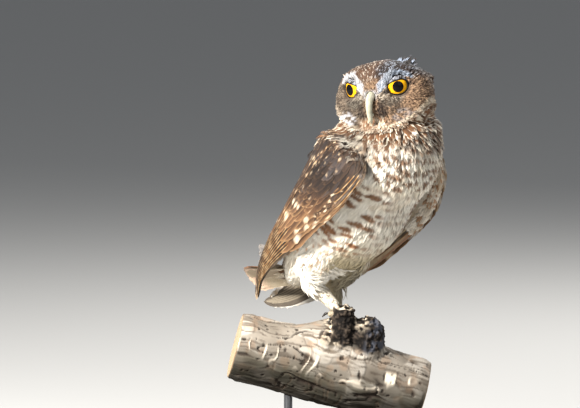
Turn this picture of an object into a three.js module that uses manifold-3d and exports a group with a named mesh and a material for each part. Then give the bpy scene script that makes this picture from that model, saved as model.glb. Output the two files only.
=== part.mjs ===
// Burrowing owl on a short cut branch, as a life-size museum model on a plain display stand.
// Millimetres, +Z up. The bird's breast faces -Y, its left side is +X, and its head is turned to its right.
// The branch runs at 45 degrees to the bird and falls away in front of it. The floor is z = 0.
import * as THREE from "three";
import { mergeVertices } from "three/addons/utils/BufferGeometryUtils.js";
import Module from "manifold-3d";

const wasm = await Module();
wasm.setup();

// ---------- driving sizes ----------
const GAP = 0.3; // clearance between neighbouring pieces
const FEET_Z = 100; // height of the soles above the floor

const HEAD = { at: [0, -45.5, 165.5], yaw: 70, pitch: 5, roll: -5 }; // turned to the bird's right
const SKULL = { side: 36, front: 30, back: 33, up: 27.5, down: 30, power: 2.45 };
const EYE = { r: 10, side: 14.4, front: 12.9, up: 9.5, axis: 32, show: 7.6 }; // axis: degrees out from straight ahead

const BRANCH = { r: 26, slope: 14.5, from: -80, to: 64, depth: 4, top: -17, yaw: -45 };
const MOUND = { l: -9, w: -0.12, h: 15, long: 17, wide: 0.62 }; // the swelling the bird stands on
const BASE = { r: 86, h: 10, edge: 1.5, y: 8 };
const ROD = { r: 3.2, at: [-40, 34] };

// Root and tip of the tail's right edge, middle and left edge: it is rolled, left side down
const TAIL = {
  right: [[-11, 24, 37], [-16, 73, 34]],
  middle: [[0, 30, 33], [-3, 92, 24]],
  left: [[11, 30, 26], [12, 88, 13.5]],
};
const TARSUS_R = 4.2;
const TOE_R = 2.3;

// ---------- small maths ----------
const rad = (d) => (d * Math.PI) / 180;
const clamp = (v, a, b) => Math.min(b, Math.max(a, v));
const mix = (a, b, t) => a + (b - a) * t;
const smooth = (t) => ((t = clamp(t, 0, 1)), t * t * (3 - 2 * t));
const bump = (d, s) => Math.exp(-(d * d) / (2 * s * s));

// Smooth row-by-row interpolation: rows are [t, value, value, ...] with t rising.
function along(rows, t) {
  const n = rows.length;
  t = clamp(t, rows[0][0], rows[n - 1][0]);
  let i = 0;
  while (i < n - 2 && t > rows[i + 1][0]) i++;
  const [p1, p2] = [rows[i], rows[i + 1]];
  const p0 = rows[Math.max(0, i - 1)], p3 = rows[Math.min(n - 1, i + 2)];
  const h = p2[0] - p1[0], f = (t - p1[0]) / h;
  return p1.slice(1).map((_, k) => {
    k += 1;
    const m1 = ((p2[k] - p0[k]) / (p2[0] - p0[0])) * h;
    const m2 = ((p3[k] - p1[k]) / (p3[0] - p1[0])) * h;
    const f2 = f * f, f3 = f2 * f;
    return (2 * f3 - 3 * f2 + 1) * p1[k] + (f3 - 2 * f2 + f) * m1 + (-2 * f3 + 3 * f2) * p2[k] + (f3 - f2) * m2;
  });
}

// ---------- making and cutting solids ----------
// A closed surface: the sphere's own grid, each vertex put where place(u, v) says. v = 0 and v = 1 are its poles.
function closed(around, lengthwise, place) {
  const g = new THREE.SphereGeometry(1, around, lengthwise);
  const p = g.getAttribute("position");
  for (let row = 0, i = 0; row <= lengthwise; row++)
    for (let col = 0; col <= around; col++, i++) {
      const q = place((col % around) / around, row / lengthwise);
      p.setXYZ(i, q[0], q[1], q[2]);
    }
  return solid(g);
}

function solid(geometry, matrix) {
  const g = geometry.index ? geometry.toNonIndexed() : geometry.clone();
  if (matrix) g.applyMatrix4(matrix);
  for (const name of ["normal", "uv"]) g.deleteAttribute(name);
  const m = mergeVertices(g, 1e-3);
  const make = (tri) =>
    new wasm.Manifold(new wasm.Mesh({ numProp: 3, vertProperties: m.getAttribute("position").array, triVerts: tri }));
  const tri = new Uint32Array(m.index.array).filter((_, k, a) => {
    const t = k - (k % 3);
    return a[t] !== a[t + 1] && a[t + 1] !== a[t + 2] && a[t] !== a[t + 2];
  });
  let made = make(tri);
  if (made.volume() < 0) {
    for (let i = 0; i < tri.length; i += 3) [tri[i + 1], tri[i + 2]] = [tri[i + 2], tri[i + 1]];
    made = make(tri);
  }
  return made;
}

const group = new THREE.Group();
const LOOKS = {
  brown: { color: 0x7d6048, roughness: 0.85 },
  cream: { color: 0xd9cdb8, roughness: 0.85 },
  white: { color: 0xe6dfd0, roughness: 0.88 },
  tailBrown: { color: 0x86705c, roughness: 0.82 },
  iris: { color: 0xf0b400, roughness: 0.08 },
  horn: { color: 0xb9b48c, roughness: 0.38 },
  toe: { color: 0x8f8878, roughness: 0.62 },
  claw: { color: 0x211d1a, roughness: 0.32 },
  bark: { color: 0x8c7a66, roughness: 0.9 },
  base: { color: 0x2c2826, roughness: 0.45 },
  steel: { color: 0x55565a, roughness: 0.35, metalness: 0.9 },
};

// The largest piece of a cut solid, as a named mesh.
function node(name, shape, look) {
  const parts = shape.decompose().sort((a, b) => b.volume() - a.volume());
  const made = parts[0].getMesh();
  const v = new Float32Array(made.numVert * 3);
  for (let i = 0; i < made.numVert; i++)
    v.set(made.vertProperties.subarray(i * made.numProp, i * made.numProp + 3), i * 3);
  const g = new THREE.BufferGeometry()
    .setAttribute("position", new THREE.BufferAttribute(v, 3))
    .setIndex(new THREE.BufferAttribute(made.triVerts, 1));
  g.computeVertexNormals();
  const mesh = new THREE.Mesh(g, new THREE.MeshStandardMaterial({ metalness: 0, ...LOOKS[look] }));
  mesh.name = name;
  group.add(mesh);
  return parts[0];
}

// A slab of the space on one side of a plane: through `at`, facing along `facing`.
function halfSpace(at, facing, size = 400) {
  const q = new THREE.Quaternion().setFromUnitVectors(
    new THREE.Vector3(0, 0, 1),
    new THREE.Vector3(...facing).normalize(),
  );
  const n = new THREE.Vector3(...facing).normalize().multiplyScalar(size / 2);
  return solid(
    new THREE.BoxGeometry(size, size, size),
    new THREE.Matrix4().compose(new THREE.Vector3(...at).add(n), q, new THREE.Vector3(1, 1, 1)),
  );
}

// A limb: a tube of changing radius through rows of [t, x, y, z, r], with round ends.
function limb(rows, around, lengthwise, { grow = 0, flat = 1 } = {}) {
  const end = 0.09;
  return closed(around, lengthwise, (u, v) => {
    const t = mix(rows[0][0], rows[rows.length - 1][0], v);
    const [x, y, z, r] = along(rows, t);
    const a = along(rows, t - 1e-3), b = along(rows, t + 1e-3);
    const tangent = new THREE.Vector3(b[0] - a[0], b[1] - a[1], b[2] - a[2]).normalize();
    const side = new THREE.Vector3(1, 0.05, 0.02).cross(tangent).normalize();
    const other = new THREE.Vector3().crossVectors(tangent, side);
    const e = Math.min(v, 1 - v);
    const shrink = e < end ? Math.sqrt(Math.max(0, 1 - (1 - e / end) ** 2)) : 1;
    const w = (r + grow) * shrink;
    const c = Math.cos(2 * Math.PI * u) * w * flat, s = Math.sin(2 * Math.PI * u) * w;
    return [x + side.x * c + other.x * s, y + side.y * c + other.y * s, z + side.z * c + other.z * s];
  });
}

// ---------- trunk ----------
// t, y, z on the middle of the body, then half width, half depth of the back, half depth of the belly
const TRUNK = [
  [0.0, 46, 22, 3, 3, 3],
  [0.06, 40, 26, 14, 10, 8],
  [0.2, 26, 38, 27, 22, 16],
  [0.38, 8, 58, 35, 33, 31],
  [0.56, -11, 82, 39.5, 38, 42],
  [0.72, -25, 104, 41, 41, 43],
  [0.85, -38, 121, 44, 39, 43],
  [0.9, -42, 131, 42.5, 37, 42],
  [0.955, -44, 147, 36.5, 33, 36.5],
  [1.0, -45, 170, 26, 24, 26],
];
function trunkPoint(u, v, grow = 0) {
  const [y, z, a, bd, bv] = along(TRUNK, v);
  const p = along(TRUNK, v - 2e-3), q = along(TRUNK, v + 2e-3);
  const dy = q[0] - p[0], dz = q[1] - p[1], l = Math.hypot(dy, dz);
  const ny = dz / l, nz = -dy / l; // towards the back
  const c = Math.cos(2 * Math.PI * u), s = Math.sin(2 * Math.PI * u);
  const end = v < 0.03 ? v / 0.03 : v > 0.97 ? (1 - v) / 0.03 : 1;
  const k = Math.sqrt(Math.max(0, 1 - (1 - end) ** 2));
  const deep = (c > 0 ? bd : bv) + grow;
  const x = 8 * smooth((v - 0.8) / 0.2); // the turned head carries the top of the neck to the left
  return [x + (a + grow) * s * k, y + ny * deep * c * k, z + nz * deep * c * k];
}
const trunkWhole = closed(28, 22, (u, v) => trunkPoint(u, v));
const trunkGrown = closed(28, 22, (u, v) => trunkPoint(u, v, GAP));

// ---------- head ----------
const headMatrix = new THREE.Matrix4()
  .makeTranslation(...HEAD.at)
  .multiply(new THREE.Matrix4().makeRotationZ(rad(180 - HEAD.yaw))) // local +Y looks forward
  .multiply(new THREE.Matrix4().makeRotationY(rad(-HEAD.roll)))
  .multiply(new THREE.Matrix4().makeRotationX(rad(-HEAD.pitch)));
function toWorld(x, y, z) {
  const p = new THREE.Vector3(x, y, z).applyMatrix4(headMatrix);
  return [p.x, p.y, p.z];
}
// The front of each eye, as seen from the middle of the head, and how far out the lids sit
const EYE_LOOK = [EYE.side + EYE.r * Math.sin(rad(EYE.axis)), EYE.front + EYE.r * Math.cos(rad(EYE.axis)), EYE.up];
const EYE_SURFACE = Math.hypot(...EYE_LOOK) - (EYE.r - Math.sqrt(EYE.r ** 2 - EYE.show ** 2));
function skullRadius(x, y, z) {
  const { side, front, back, up, down, power } = SKULL;
  const w = (v, s) => Math.pow(Math.abs(v / s), power);
  let r = Math.pow(w(x, side) + w(y, y > 0 ? front : back) + w(z, z > 0 ? up : down), -1 / power);
  const near = (a, b, c) => Math.acos(clamp((Math.abs(x) * a + y * b + z * c) / Math.hypot(a, b, c), -1, 1));
  r = mix(r, EYE_SURFACE, bump(near(...EYE_LOOK), 0.26)); // eye sockets
  r += 2.6 * bump(near(0.5, 0.72, 0.6), 0.16); // brows that shade the eyes
  r += 2.4 * bump(near(0.0, 1, -0.08), 0.24); // bristles round the bill
  r += 1.3 * bump(near(0.92, 0.42, -0.1), 0.2); // cheek, at the rim of the face
  r -= 1.6 * bump(near(0, 0.25, 1), 0.35); // flat crown
  r -= 2.6 * bump(near(0.62, -0.42, 0.72), 0.3); // the crown's back corners slope away
  return r;
}
const headWhole = closed(28, 20, (u, v) => {
  const f = 2 * Math.PI * u, t = Math.PI * v;
  const d = [Math.sin(t) * Math.sin(f), Math.sin(t) * Math.cos(f), Math.cos(t)];
  const r = skullRadius(...d);
  return toWorld(d[0] * r, d[1] * r, d[2] * r);
});
const eyeAt = (side) => [side * EYE.side, EYE.front, EYE.up];
const ball = (at, r, n = 16) =>
  solid(new THREE.SphereGeometry(r, n, Math.round(n * 0.7)), new THREE.Matrix4().makeTranslation(...toWorld(...at)));
// in the head's own frame the bird's right is +X
const eyes = { left: ball(eyeAt(-1), EYE.r, 16), right: ball(eyeAt(1), EYE.r, 16) };
const sockets = { left: ball(eyeAt(-1), EYE.r + GAP), right: ball(eyeAt(1), EYE.r + GAP) };

// Bill: rows of t, forward, up, half width, half depth, in the head's own frame
const BILL_UPPER = [
  [0, 22, 5, 3.2, 3.0],
  [0.25, 28.8, 4.4, 3.1, 3.6],
  [0.5, 33.6, 0.3, 2.75, 3.6],
  [0.75, 35.2, -6.7, 2.3, 3.0],
  [0.92, 33.9, -13.4, 1.7, 2.0],
  [1, 32.2, -17.2, 0.45, 0.5],
];
const BILL_LOWER = [
  [0, 22, -5.2, 2.0, 2.0],
  [0.4, 27, -6.9, 2.0, 1.8],
  [0.8, 30.4, -9.8, 1.5, 1.3],
  [1, 31.6, -11.2, 0.7, 0.6],
];
function billSolid(rows, around, lengthwise, grow = 0) {
  return closed(around, lengthwise, (u, v) => {
    const [y, z, a, b] = along(rows, v);
    const p = along(rows, v - 5e-3), q = along(rows, v + 5e-3);
    const l = Math.hypot(q[0] - p[0], q[1] - p[1]);
    const ny = -(q[1] - p[1]) / l, nz = (q[0] - p[0]) / l;
    const e = Math.min(v / 0.08, (1 - v) / 0.1, 1), k = Math.sqrt(1 - (1 - e) ** 2);
    const c = Math.cos(2 * Math.PI * u) * (b + grow) * k, s = Math.sin(2 * Math.PI * u) * (a + grow) * k;
    const ridge = c > 0 ? 1 - 0.22 * Math.abs(s / (a + grow)) : 1; // keeled along the top
    return toWorld(s, y + ny * c * ridge, z + nz * c * ridge);
  });
}
const billUpper = billSolid(BILL_UPPER, 10, 10);
const billLower = billSolid(BILL_LOWER, 8, 6);

// ---------- wings ----------
// s, y, z along the leading edge, which lies lowest on the folded wing, and its distance from the middle.
// The left wing hangs a little lower and stands off the flank.
const WING = {
  right: {
    leading: [
      [0.0, -50, 124, 35],
      [0.08, -60, 116, 40.5],
      [0.18, -62, 105, 45],
      [0.35, -41, 83, 48],
      [0.5, -18, 67.7, 47],
      [0.68, 14.6, 45.7, 41.5],
      [0.82, 37, 34.8, 34],
      [0.92, 55.2, 22.6, 26],
      [1.0, 66, 7.5, 18.5],
    ],
    // the same for the inner edge, along the back
    inner: [
      [0.0, -30, 138, 30],
      [0.1, -10, 138, 24],
      [0.25, 6, 130, 17],
      [0.45, 22, 107, 14],
      [0.65, 38, 80, 15],
      [0.82, 53, 53, 20],
      [0.93, 61, 32, 22],
      [1.0, 66.5, 9, 18.5],
    ],
  },
  left: {
    leading: [
      [0.0, -50, 125, 35],
      [0.08, -63, 118, 43],
      [0.18, -60, 101.5, 50],
      [0.3, -45, 77, 57],
      [0.42, -26.5, 60.5, 58],
      [0.54, -5, 42, 53],
      [0.66, 16, 24.5, 43],
      [0.78, 42, 9, 31],
      [0.88, 65, -0.2, 23],
      [0.95, 83, -1.4, 18.5],
      [1.0, 92, 2, 16],
    ],
    inner: [
      [0.0, -30, 138, 30],
      [0.1, -10, 138, 24],
      [0.25, 6, 130, 17],
      [0.45, 22, 107, 14],
      [0.65, 40, 76, 17],
      [0.8, 60, 46, 23],
      [0.9, 77, 22, 21],
      [1.0, 92.5, 4, 16],
    ],
  },
};
const WING_THICK = [
  [0, 5],
  [0.12, 9],
  [0.4, 8],
  [0.7, 5.5],
  [0.9, 3],
  [1, 1.6],
];
function wingMiddle(rows, s, c) {
  const a = along(rows.leading, s), b = along(rows.inner, s);
  const belly = Math.sin(Math.PI * c);
  const x = mix(a[2], b[2], Math.pow(c, 2.5)) + 3.4 * belly * (1 - 0.6 * s);
  return [x, mix(a[0], b[0], c), mix(a[1], b[1], c) + 1.5 * belly];
}
function wing(side) {
  const rows = WING[side < 0 ? "right" : "left"]; // side: 1 left, -1 right
  return closed(20, 15, (u, v) => {
    const s = clamp(0.5 - 0.5 * Math.cos(Math.PI * v), 0, 1);
    const turn = 2 * Math.PI * u;
    const e = Math.min(1, s / 0.06, (1 - s) / 0.05), k = Math.sqrt(Math.max(0, 1 - (1 - e) ** 2));
    const c = 0.5 - 0.5 * Math.cos(turn) * k;
    const p = new THREE.Vector3(...wingMiddle(rows, s, c));
    const ds = new THREE.Vector3(...wingMiddle(rows, Math.min(1, s + 0.01), c)).sub(
      new THREE.Vector3(...wingMiddle(rows, Math.max(0, s - 0.01), c)),
    );
    const dc = new THREE.Vector3(...wingMiddle(rows, s, Math.min(1, c + 0.02))).sub(
      new THREE.Vector3(...wingMiddle(rows, s, Math.max(0, c - 0.02))),
    );
    const n = dc.cross(ds).normalize();
    if (n.x < 0) n.negate();
    const thick = along(WING_THICK, s)[0] * (1 - 0.35 * c);
    p.addScaledVector(n, (Math.sin(turn) * k * thick) / 2);
    return [side * p.x, p.y, p.z];
  });
}

// ---------- tail: a dozen overlapping feathers, little spread ----------
function tailPoint(s, c) {
  const across = 2 * c - 1; // -1 at the right edge, 1 at the left
  const line = (name, k) => mix(TAIL[name][0][k], TAIL[name][1][k], s * (1 + 0.014 * Math.cos(Math.PI * 11 * across) * smooth((s - 0.9) / 0.1)));
  return [0, 1, 2].map((k) => {
    const [r, m, l] = [line("right", k), line("middle", k), line("left", k)];
    const v = m + (across * (l - r)) / 2 + across * across * ((l + r) / 2 - m);
    return k === 2 ? v + 3 * Math.sin(Math.PI * c) * (1 - across * across) * s - 2 * s * (1 - s) : v;
  });
}
const tailWhole = closed(24, 8, (u, v) => {
  const s = 1 - (1 - v) ** 2.2, turn = 2 * Math.PI * u;
  const e = Math.min(1, s / 0.1, (1 - s) / 0.012), k = Math.sqrt(Math.max(0, 1 - (1 - e) ** 2));
  const c = 0.5 - 0.5 * Math.cos(turn) * k;
  const p = tailPoint(s, c);
  const thick = mix(7, 1.4, Math.pow(s, 0.6)) * k;
  p[2] += (Math.sin(turn) * thick) / 2;
  return p;
});

// ---------- branch ----------
const yaw = rad(BRANCH.yaw), slope = rad(BRANCH.slope);
const across = new THREE.Vector3(Math.cos(yaw), Math.sin(yaw), 0); // towards the low end, level
const front = new THREE.Vector3(Math.sin(yaw), -Math.cos(yaw), 0); // square to the branch, level
const alongBranch = across.clone().multiplyScalar(Math.cos(slope)).add(new THREE.Vector3(0, 0, -Math.sin(slope)));
const upBranch = new THREE.Vector3().crossVectors(front, alongBranch).multiplyScalar(-1);
if (upBranch.z < 0) upBranch.negate();
const branchMiddle = front.clone().multiplyScalar(BRANCH.depth).add(new THREE.Vector3(0, 0, BRANCH.top - BRANCH.r));
// The bark's distance from the middle at l along the branch and angle w round it from the top
function barkRadius(l, w) {
  return (
    BRANCH.r +
    0.9 * Math.sin(l * 0.06 + 1.3) +
    0.8 * Math.sin(3 * w + l * 0.05) +
    0.5 * Math.sin(5 * w - l * 0.11 + 2) +
    MOUND.h * bump(l - MOUND.l, MOUND.long) * bump(Math.atan2(Math.sin(w - MOUND.w), Math.cos(w - MOUND.w)), MOUND.wide)
  );
}
function onBranch(l, w, height) {
  const r = barkRadius(l, w) + height;
  const p = branchMiddle
    .clone()
    .addScaledVector(alongBranch, l)
    .addScaledVector(upBranch, r * Math.cos(w))
    .addScaledVector(front, r * Math.sin(w));
  return [p.x, p.y, p.z];
}
// The two ends are sawn flat, with a small bevel
function branch(grow) {
  const rows = 16;
  return closed(22, rows, (u, v) => {
    const w = 2 * Math.PI * u, e = Math.min(v, 1 - v) * rows;
    const l = mix(BRANCH.from - grow, BRANCH.to + grow, clamp((v * rows - 1.5) / (rows - 3), 0, 1));
    const k = e < 0.5 ? 0 : e < 1.5 ? 0.94 : 1;
    const p = onBranch(l + (k === 0.94 ? (v < 0.5 ? -1.2 : 1.2) : k === 0 ? (v < 0.5 ? -1.2 : 1.2) : 0), w, grow);
    const middle = branchMiddle.clone().addScaledVector(alongBranch, l + (k < 1 ? (v < 0.5 ? -1.2 : 1.2) : 0));
    return [0, 1, 2].map((i) => mix([middle.x, middle.y, middle.z][i], p[i], k));
  });
}
// The broken stub in front of the feet and the knob beside it: t, along (level), forward, up, radius
const STUB = [
  [0, 0, 15, -34, 11],
  [0.35, 1, 18.5, -16, 9.6],
  [0.7, 2, 20, 0, 8.6],
  [0.93, 2.4, 20.4, 9, 8.2],
  [1, 2.5, 20.5, 11, 5],
];
const KNOB = [
  [0, 15, 12, -38, 13],
  [0.4, 19.5, 15, -21, 14],
  [0.75, 19.5, 15, -6, 12.5],
  [1, 19.0, 14, 1, 5],
];
const lump = (rows, grow, n) =>
  limb(
    rows.map(([t, l, f, z, r]) => [t, across.x * l + front.x * f, across.y * l + front.y * f, z, r]),
    n, 8, { grow },
  );
const perchWhole = branch(0).add(lump(STUB, 0, 12)).add(lump(KNOB, 0, 14));
const perchGrown = branch(GAP).add(lump(STUB, GAP, 12)).add(lump(KNOB, GAP, 14));

// ---------- legs ----------
const FOOT = {
  left: { l: -10, w: -0.6 },
  right: { l: -12, w: 0.0 },
};
const ANKLE = { left: [14, 17.6, 25], right: [-14, 12.6, 22.5] };
const sideName = (side) => (side < 0 ? "right" : "left");
const foot = (side) => onBranch(FOOT[side].l, FOOT[side].w, 4.5);
function legRows(side) {
  const name = sideName(side), a = ANKLE[name], f = foot(name);
  const down = (t) => a.map((v, i) => mix(v, f[i], t));
  return [
    [0, side * 19, 0, 58, 12],
    [0.2, side * 19, 6, 46, 15],
    [0.42, side * 17.5, 11, 34, 11.5],
    [0.58, ...a, 7.2],
    [0.72, ...down(0.36), 5.6],
    [0.88, ...down(0.76), 4.4],
    [1, ...f, TARSUS_R - 0.8],
  ];
}
// Toes: way they point (degrees from down the branch, turning to the front), length, spread on the branch
const TOES = {
  right: [[-150, 8.5], [-24, 13.5], [-5, 14.5], [115, 11]],
  left: [[-166, 12], [14, 14], [-12, 16], [-72, 14]],
};
function toePath(side, k) {
  const f = FOOT[side], [turn, length] = TOES[side][k];
  const a = rad(turn);
  return (d, h) => {
    const q = length * d;
    return onBranch(f.l + q * Math.cos(a), f.w + (q * Math.sin(a)) / barkRadius(f.l, f.w), h);
  };
}
function toe(side, k, grow = 0) {
  const at = toePath(side, k);
  const rows = [
    [0, ...at(0, 3.2), 2.9],
    [0.3, ...at(0.32, 2.6), TOE_R],
    [0.55, ...at(0.6, 2.3), TOE_R - 0.3],
    [0.8, ...at(0.85, 2.1), TOE_R],
    [1, ...at(1.0, 1.9), TOE_R - 0.5],
  ];
  return limb(rows, 6, 5, { grow });
}
function clawRows(side, k) {
  const at = toePath(side, k);
  return [
    [0, ...at(1.0, 2.5), 1.15],
    [0.35, ...at(1.17, 3.6), 1.2],
    [0.7, ...at(1.36, 2.6), 0.85],
    [1, ...at(1.47, 0.85), 0.3],
  ];
}

// ---------- putting it together ----------
const shift = (shape) => shape.translate([0, 0, FEET_Z]);
const NECK_CUT = { at: [0, -46, 137], facing: [0, -0.28, 0.96] };
const TRUNK_CUT = { at: [0, -38, 124], facing: [0, -0.42, 0.91] };
const lift = (c, d) => c.at.map((v, i) => v + (c.facing[i] / Math.hypot(...c.facing)) * d);

const leftWing = wing(1), rightWing = wing(-1);
const legs = { left: limb(legRows(1), 10, 12), right: limb(legRows(-1), 10, 12) };
const grownLegs = { left: limb(legRows(1), 10, 12, { grow: GAP }), right: limb(legRows(-1), 10, 12, { grow: GAP }) };

// Head, neck and trunk are one form, parted with thin cuts
const flesh = trunkWhole.add(headWhole);
const above = (cut, d) => halfSpace(lift(cut, d), cut.facing);
let head = flesh.intersect(above(NECK_CUT, GAP / 2));
let neck = flesh.subtract(above(NECK_CUT, -GAP / 2)).intersect(above(TRUNK_CUT, GAP / 2));
let trunk = flesh.subtract(above(TRUNK_CUT, -GAP / 2));

const grownBill = billSolid(BILL_UPPER, 10, 10, GAP).add(billSolid(BILL_LOWER, 8, 6, GAP));
head = head.subtract(sockets.left).subtract(sockets.right).subtract(grownBill);
const fleshGrown = closed(28, 20, (u, v) => {
  const f = 2 * Math.PI * u, t = Math.PI * v;
  const d = [Math.sin(t) * Math.sin(f), Math.sin(t) * Math.cos(f), Math.cos(t)];
  const r = skullRadius(...d) + GAP;
  return toWorld(d[0] * r, d[1] * r, d[2] * r);
}).add(trunkGrown);

const upDown = (shape, d = 0.4) => shape.translate([0, 0, -d]).add(shape.translate([0, 0, d]));
const tailGrown = upDown(tailWhole);
const wings = {
  left: leftWing.subtract(fleshGrown).subtract(tailGrown),
  right: rightWing.subtract(fleshGrown).subtract(tailGrown),
};
const tail = tailWhole.subtract(trunkGrown);

node("head", shift(head), "brown");
node("eye_left", shift(eyes.left), "iris");
node("eye_right", shift(eyes.right), "iris");
node("bill_upper", shift(billUpper), "horn");
node("bill_lower", shift(billLower.subtract(billSolid(BILL_UPPER, 10, 10, GAP))), "horn");
node("neck", shift(neck), "brown");
node("trunk", shift(trunk), "cream");
node("wing_left", shift(wings.left.subtract(grownLegs.left)), "brown");
node("wing_right", shift(wings.right.subtract(grownLegs.right)), "brown");
node("tail", shift(tail), "tailBrown");

for (const side of ["left", "right"]) {
  const pad = onBranch(FOOT[side].l, FOOT[side].w, 3.4);
  const toes = [0, 1, 2, 3].map((k) => toe(side, k));
  const claws = [0, 1, 2, 3].map((k) => limb(clawRows(side, k), 6, 6));
  const clawsGrown = [0, 1, 2, 3].map((k) => limb(clawRows(side, k), 6, 6, { grow: GAP }));
  let whole = round(pad, 4.2), grown = round(pad, 4.2 + GAP);
  for (let k = 0; k < 4; k++) {
    whole = whole.add(toes[k]);
    grown = grown.add(toe(side, k, GAP));
  }
  whole = whole.subtract(perchGrown);
  for (const c of clawsGrown) whole = whole.subtract(c);
  const leg = legs[side].subtract(grown).subtract(perchGrown).subtract(trunkGrown).subtract(tailGrown);
  const a = new THREE.Vector3(...ANKLE[side]), f = new THREE.Vector3(...foot(side));
  const cut = { at: a.toArray(), facing: f.clone().sub(a).normalize().toArray() };
  node("thigh_" + side, shift(leg.subtract(above(cut, -GAP / 2))), "white");
  node("tarsus_" + side, shift(leg.intersect(above(cut, GAP / 2))), "cream");
  node("foot_" + side, shift(whole), "toe");
  claws.forEach((c, k) => node(`claw_${side}_${k + 1}`, shift(c.subtract(perchGrown)), "claw"));
}
function round(at, r) {
  return solid(new THREE.SphereGeometry(r, 10, 6), new THREE.Matrix4().makeTranslation(...at));
}
// ---------- perch and stand ----------
node("perch_branch", shift(perchWhole), "bark");
const base = solid(
  new THREE.LatheGeometry(
    [[0, 0], [BASE.r, 0], [BASE.r, BASE.h - BASE.edge], [BASE.r - BASE.edge, BASE.h], [0, BASE.h]].map(
      ([x, y]) => new THREE.Vector2(x, y),
    ),
    40,
  ),
  new THREE.Matrix4().makeTranslation(0, BASE.y, 0).multiply(new THREE.Matrix4().makeRotationX(rad(90))),
);
node("stand_base", base, "base");
ROD.at.forEach((l, i) => {
  const p = branchMiddle.clone().addScaledVector(alongBranch, l);
  const low = BASE.h + GAP, high = p.z + FEET_Z;
  const rod = solid(
    new THREE.CylinderGeometry(ROD.r, ROD.r, high - low, 18),
    new THREE.Matrix4().makeTranslation(p.x, p.y, (low + high) / 2).multiply(new THREE.Matrix4().makeRotationX(rad(90))),
  );
  node("stand_rod_" + (i + 1), rod.subtract(shift(perchGrown)), "steel");
});

// The origin is on the floor, under the middle of the whole piece
group.updateMatrixWorld(true);
const box = new THREE.Box3().setFromObject(group);
group.children.forEach((m) => m.position.set(-(box.min.x + box.max.x) / 2, -(box.min.y + box.max.y) / 2, -box.min.z));

export default group;
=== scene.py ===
"""A burrowing owl on a short cut branch, on a plain display stand: feathers, eyes, bill, feet, bark, light and camera.
Shapes are worked out in millimetres in the bird's own frame: the feet's middle is the origin, the breast faces -Y,
the bird's left is +X and up is +Z. TO_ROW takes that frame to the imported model's."""

import math

import bpy
import numpy as np
from mathutils import Matrix, Vector
from mathutils.bvhtree import BVHTree


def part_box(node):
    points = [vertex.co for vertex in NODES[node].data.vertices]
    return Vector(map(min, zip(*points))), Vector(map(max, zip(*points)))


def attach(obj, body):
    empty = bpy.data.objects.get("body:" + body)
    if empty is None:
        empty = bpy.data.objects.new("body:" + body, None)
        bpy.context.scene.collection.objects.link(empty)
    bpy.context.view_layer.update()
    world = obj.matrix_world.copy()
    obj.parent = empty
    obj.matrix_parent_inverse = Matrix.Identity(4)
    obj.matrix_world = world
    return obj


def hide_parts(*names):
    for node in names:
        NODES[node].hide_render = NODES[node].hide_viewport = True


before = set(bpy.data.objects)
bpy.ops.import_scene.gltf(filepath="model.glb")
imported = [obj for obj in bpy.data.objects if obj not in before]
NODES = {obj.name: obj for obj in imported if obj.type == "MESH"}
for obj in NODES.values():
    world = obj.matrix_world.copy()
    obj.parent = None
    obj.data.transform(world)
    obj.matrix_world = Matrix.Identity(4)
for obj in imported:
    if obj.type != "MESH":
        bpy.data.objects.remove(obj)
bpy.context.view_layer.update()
rng = np.random.default_rng(20)

base_lo, base_hi = (np.array(p, float) * 1000 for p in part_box("stand_base"))
TO_ROW = np.array([(base_lo[0] + base_hi[0]) / 2, (base_lo[1] + base_hi[1]) / 2 - 8.0, 100.0])


def to_row(p):
    return (np.asarray(p, float) + TO_ROW) / 1000.0


def from_row(p):
    return np.asarray(p, float) * 1000.0 - TO_ROW


# ---------------------------------------------------------------- small maths
def srgb(r, g, b):
    c = np.array([r, g, b], float) / 255.0
    return np.where(c <= 0.04045, c / 12.92, ((c + 0.055) / 1.055) ** 2.4)


def unit(v):
    v = np.asarray(v, float)
    return v / np.maximum(np.linalg.norm(v, axis=-1, keepdims=True), 1e-9)


def smooth(x, a=0.0, b=1.0):
    t = np.clip((np.asarray(x, float) - a) / (b - a), 0, 1)
    return t * t * (3 - 2 * t)


def mix(a, b, t):
    a, b, t = np.asarray(a, float), np.asarray(b, float), np.asarray(t, float)
    if a.ndim and a.shape[-1:] == (3,) or b.ndim and b.shape[-1:] == (3,):
        t = t[..., None]
    return a * (1 - t) + b * t


def hash01(i, j=0, k=0, seed=0):
    h = (
        np.asarray(i, np.int64) * 73856093
        ^ np.asarray(j, np.int64) * 19349663
        ^ np.asarray(k, np.int64) * 83492791
        ^ np.int64(seed * 2654435761 % 2**31)
    )
    h = (h ^ (h >> 13)) * np.int64(1274126177)
    h = h ^ (h >> 16)
    return ((h & 0xFFFFFF).astype(float)) / float(0xFFFFFF)


def noise(p, scale, seed=0):
    """Smooth 3-D noise, 0..1, with features about `scale` across."""
    q = np.asarray(p, float) / scale
    i = np.floor(q).astype(np.int64)
    f = q - i
    f = f * f * (3 - 2 * f)
    out = 0.0
    for dx in (0, 1):
        for dy in (0, 1):
            for dz in (0, 1):
                w = (f[..., 0] if dx else 1 - f[..., 0]) * (f[..., 1] if dy else 1 - f[..., 1])
                w = w * (f[..., 2] if dz else 1 - f[..., 2])
                out = out + w * hash01(i[..., 0] + dx, i[..., 1] + dy, i[..., 2] + dz, seed)
    return out


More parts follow.
